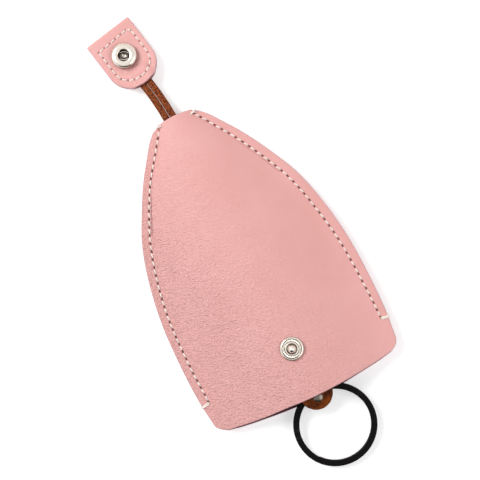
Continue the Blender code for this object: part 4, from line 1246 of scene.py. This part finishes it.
rivet = {
    "radius": 0.00175, "height": 0.0006, "tube": 0.0010, "bore": 0.00065, "pin": 0.00042,
    # dark greys the whole cap as painted shade, where it sits under the case's mouth
    "tipGap": 0.0004, "softness": 0.00008, "domeSteps": 10, "turn": 64, "dark": [(0, 0.003, 0.84)],
}


def holderLeaf(name, face):
    half, trim, inset = holder["length"] / 2, holder["edgeRound"], holder["tipInset"]
    rows, columns, tipRadius = holder["rows"], holder["columns"], holder["halfWidth"] - holder["edgeRound"]
    centreY = case["topY"] - holder["topDepth"] - half
    inner = np.zeros((rows + 1, columns + 1, 3))
    for r in range(rows + 1):
        along = 2 * r / rows - 1
        for c in range(columns + 1):
            x, out = tonguePoint(2 * c / columns - 1, abs(along), tipRadius, half - trim, tipRadius)
            closed = max(0, out - (half - inset)) / inset if along < 0 else 0
            gap = holder["halfGap"] - holder["tipClosing"] * closed**2
            inner[r, c] = (holder["x"] + x, centreY + math.copysign(out, along), case["seamZ"] + face * gap)
    outer = inner + facingNormals(inner, face) * holder["leather"]
    return leatherSheet(name, inner, outer, trim, {}, looks["holder"])


def buildRivet(name, depth):
    seat = holder["halfGap"] + holder["leather"] + metal["seatGap"]
    place = Matrix.Translation((holder["x"], case["topY"] - depth, case["seamZ"]))
    radius, height, tube, bore, pin = [rivet[label] for label in ("radius", "height", "tube", "bore", "pin")]
    dome = [(0, seat + height)]
    for step in range(1, rivet["domeSteps"] + 1):
        angle = math.pi / 2 * (1 - step / rivet["domeSteps"])
        dome.append((radius * math.cos(angle), seat + height * (0.2 + 0.8 * math.sin(angle) ** 1.2)))
    roof, tubeEnd = seat - height, rivet["tipGap"] - seat
    pinTop = roof - rivet["tipGap"]
    cap = dome + [(radius, seat), (tube, seat), (tube, tubeEnd), (bore, tubeEnd), (bore, roof), (0, roof)]
    base = [(0, pinTop), (pin, pinTop), (pin, -seat), (radius, -seat)]
    base += [(across, -level) for across, level in reversed(dome)]
    return [spun(name + label, softened(profile, rivet["softness"], 3), rivet["turn"], place, False, dark)
            for label, profile, dark in (("Cap", cap, rivet["dark"]), ("Base", base, None))]


handOver(holderLeaf("ringHolderFront", 1), "ring_holder", "brown_leather", "ring_holder_front")
handOver(holderLeaf("ringHolderBack", -1), "ring_holder", "brown_leather", "ring_holder_back")
for rivetName, rivetDepth, node in (("upperRivet", holder["upperDepth"], "upper_rivet"),
                                    ("lowerRivet", holder["lowerDepth"], "lower_rivet")):
    cap, base = buildRivet(rivetName, rivetDepth)
    handOver(cap, "ring_holder", "nickel", node + "_cap")
    handOver(base, "ring_holder", "nickel", node + "_base")
print("ring holder riveted")


# the split ring

ring = {
    "x": 0.0028, "eyeDepth": 0.1094, "radius": 0.0150, "band": 0.0022, "wire": 0.0007, "turnGap": 0.00042,
    "step": math.radians(36), "endGap": math.radians(4), "start": math.radians(215),
    "tilt": math.radians(4.4454), "points": 260, "corner": 0.00022, "cornerSteps": 4,
}


def buildRing():
    mean, rise = ring["radius"] - ring["band"] / 2, (ring["wire"] + ring["turnGap"]) / 2
    first, last = ring["endGap"], 4 * math.pi - ring["step"] - ring["endGap"]
    centre = Vector((ring["x"], case["topY"] - ring["eyeDepth"] - mean * math.cos(ring["tilt"]),
                     case["seamZ"] - mean * math.sin(ring["tilt"])))
    path = []
    for k in range(ring["points"] + 1):
        angle = first + (last - first) * k / ring["points"]
        climb = ease((angle - 2 * math.pi + ring["step"]) / ring["step"])
        turn = angle + ring["start"]
        path.append((mean * math.cos(turn), mean * math.sin(turn), rise * (2 * climb - 1)))
    piece = followPath("keyRing", path, {"Width": ring["band"], "Thickness": ring["wire"],
                       "Corner": ring["corner"], "Corner Steps": ring["cornerSteps"]}, looks["ring"])
    piece.data.transform(Matrix.Translation(centre) @ Matrix.Rotation(ring["tilt"], 4, "X"))
    return dress(piece, looks["ring"])


keyRing = buildRing()
handOver(keyRing, "key_ring", "black_ring", "key_ring")
print("split ring wound")


# floor, light and camera

stageSet = {
    "floorSize": 3.0, "floorColour": (0.94, 0.94, 0.94, 1), "floorPale": (0.955, 0.955, 0.955, 1),
    "floorSpeck": 6.0, "floorGlow": 0.40, "skyLight": (0.46, 0.46, 0.47, 1), "skySeen": (1.0, 1.0, 1.0, 1),
    "darkWay": (-0.431, -0.864, 0.259), "darkSpan": (0.60, 0.84), "darkColour": (0.05, 0.045, 0.042, 1),
    "lens": 135.0, "sensor": 36.0, "planeZ": 0.00465, "frameWidth": 0.17039, "aim": (0.001685, -0.000235),
    "upWay": (0.446, 0.895, 0), "clip": (0.01, 20),
}


def seenRays(tree):
    # 1 for rays that the eye or a shine sends out, and 1 for the shine's alone
    rays = put(tree, "ShaderNodeLightPath")
    shine = rays.outputs["Is Glossy Ray"]
    return number(tree, "MAXIMUM", rays.outputs["Is Camera Ray"], shine), shine


def floorMaterial():
    # the floor shows white to the eye and in metal, and keeps the shadow
    made, tree, shader, spot = bareMaterial("paleFloor")
    speck = noise(tree, spot, stageSet["floorSpeck"], 2.0)
    seen, _ = seenRays(tree)
    colour = blendColours(tree, speck, stageSet["floorPale"], stageSet["floorColour"])
    fill(tree, shader, {"Base Color": colour, "Roughness": 0.9, "Specular IOR Level": 0.1,
                        "Emission Color": (1, 1, 1, 1),
                        "Emission Strength": number(tree, "MULTIPLY", seen, stageSet["floorGlow"])})
    return made


floorMesh = bpy.data.meshes.new("floor")
corners = [(-1, -1, 0), (1, -1, 0), (1, 1, 0), (-1, 1, 0)]
floorMesh.from_pydata([Vector(corner) * stageSet["floorSize"] for corner in corners], [], [(0, 1, 2, 3)])
floor = dress(addPiece("floor", floorMesh), floorMaterial())


def softLight(name, place, size, energy):
    # a round light that looks at the middle
    data = bpy.data.lights.new(name, "AREA")
    data.shape = "DISK"
    data.size = size
    data.energy = energy
    made = addPiece(name, data)
    made.location = place
    made.rotation_euler = (-Vector(place)).to_track_quat("-Z", "Y").to_euler()


softLight("keyLight", (-0.43, 0.57, 0.78), 0.50, 6.5)
softLight("fillLight", (0.50, -0.40, 0.85), 0.80, 2.2)

# the sky is white to the eye, grey as a light, and dark at one side in what shines
world = bpy.data.worlds.new("studio")
bpy.context.scene.world = world
world.use_nodes = True
sky = world.node_tree
seen, shine = seenRays(sky)
glow = blendColours(sky, seen, stageSet["skyLight"], stageSet["skySeen"])
gaze = arrow(sky, "DOT_PRODUCT", put(sky, "ShaderNodeTexCoord").outputs["Generated"], stageSet["darkWay"])
shaded = number(sky, "MULTIPLY", mapped(sky, gaze, stageSet["darkSpan"], kind="SMOOTHSTEP"), shine)
fill(sky, sky.nodes["Background"], {"Color": blendColours(sky, shaded, glow, stageSet["darkColour"]),
                                    "Strength": 1.0})

cameraData = bpy.data.cameras.new("camera")
cameraData.lens = stageSet["lens"]
cameraData.sensor_width = stageSet["sensor"]
cameraData.clip_start, cameraData.clip_end = stageSet["clip"]
camera = addPiece("camera", cameraData)
bpy.context.scene.camera = camera
distance = stageSet["frameWidth"] * stageSet["lens"] / stageSet["sensor"]
camera.location = (*stageSet["aim"], stageSet["planeZ"] + distance)
upWay = Vector(stageSet["upWay"]).normalized()
rightWay = Vector((upWay.y, -upWay.x, 0))
camera.rotation_euler = Matrix((rightWay, upWay, Vector((0, 0, 1)))).transposed().to_euler()

bpy.context.scene.view_settings.view_transform = "Standard"
print("stage set")
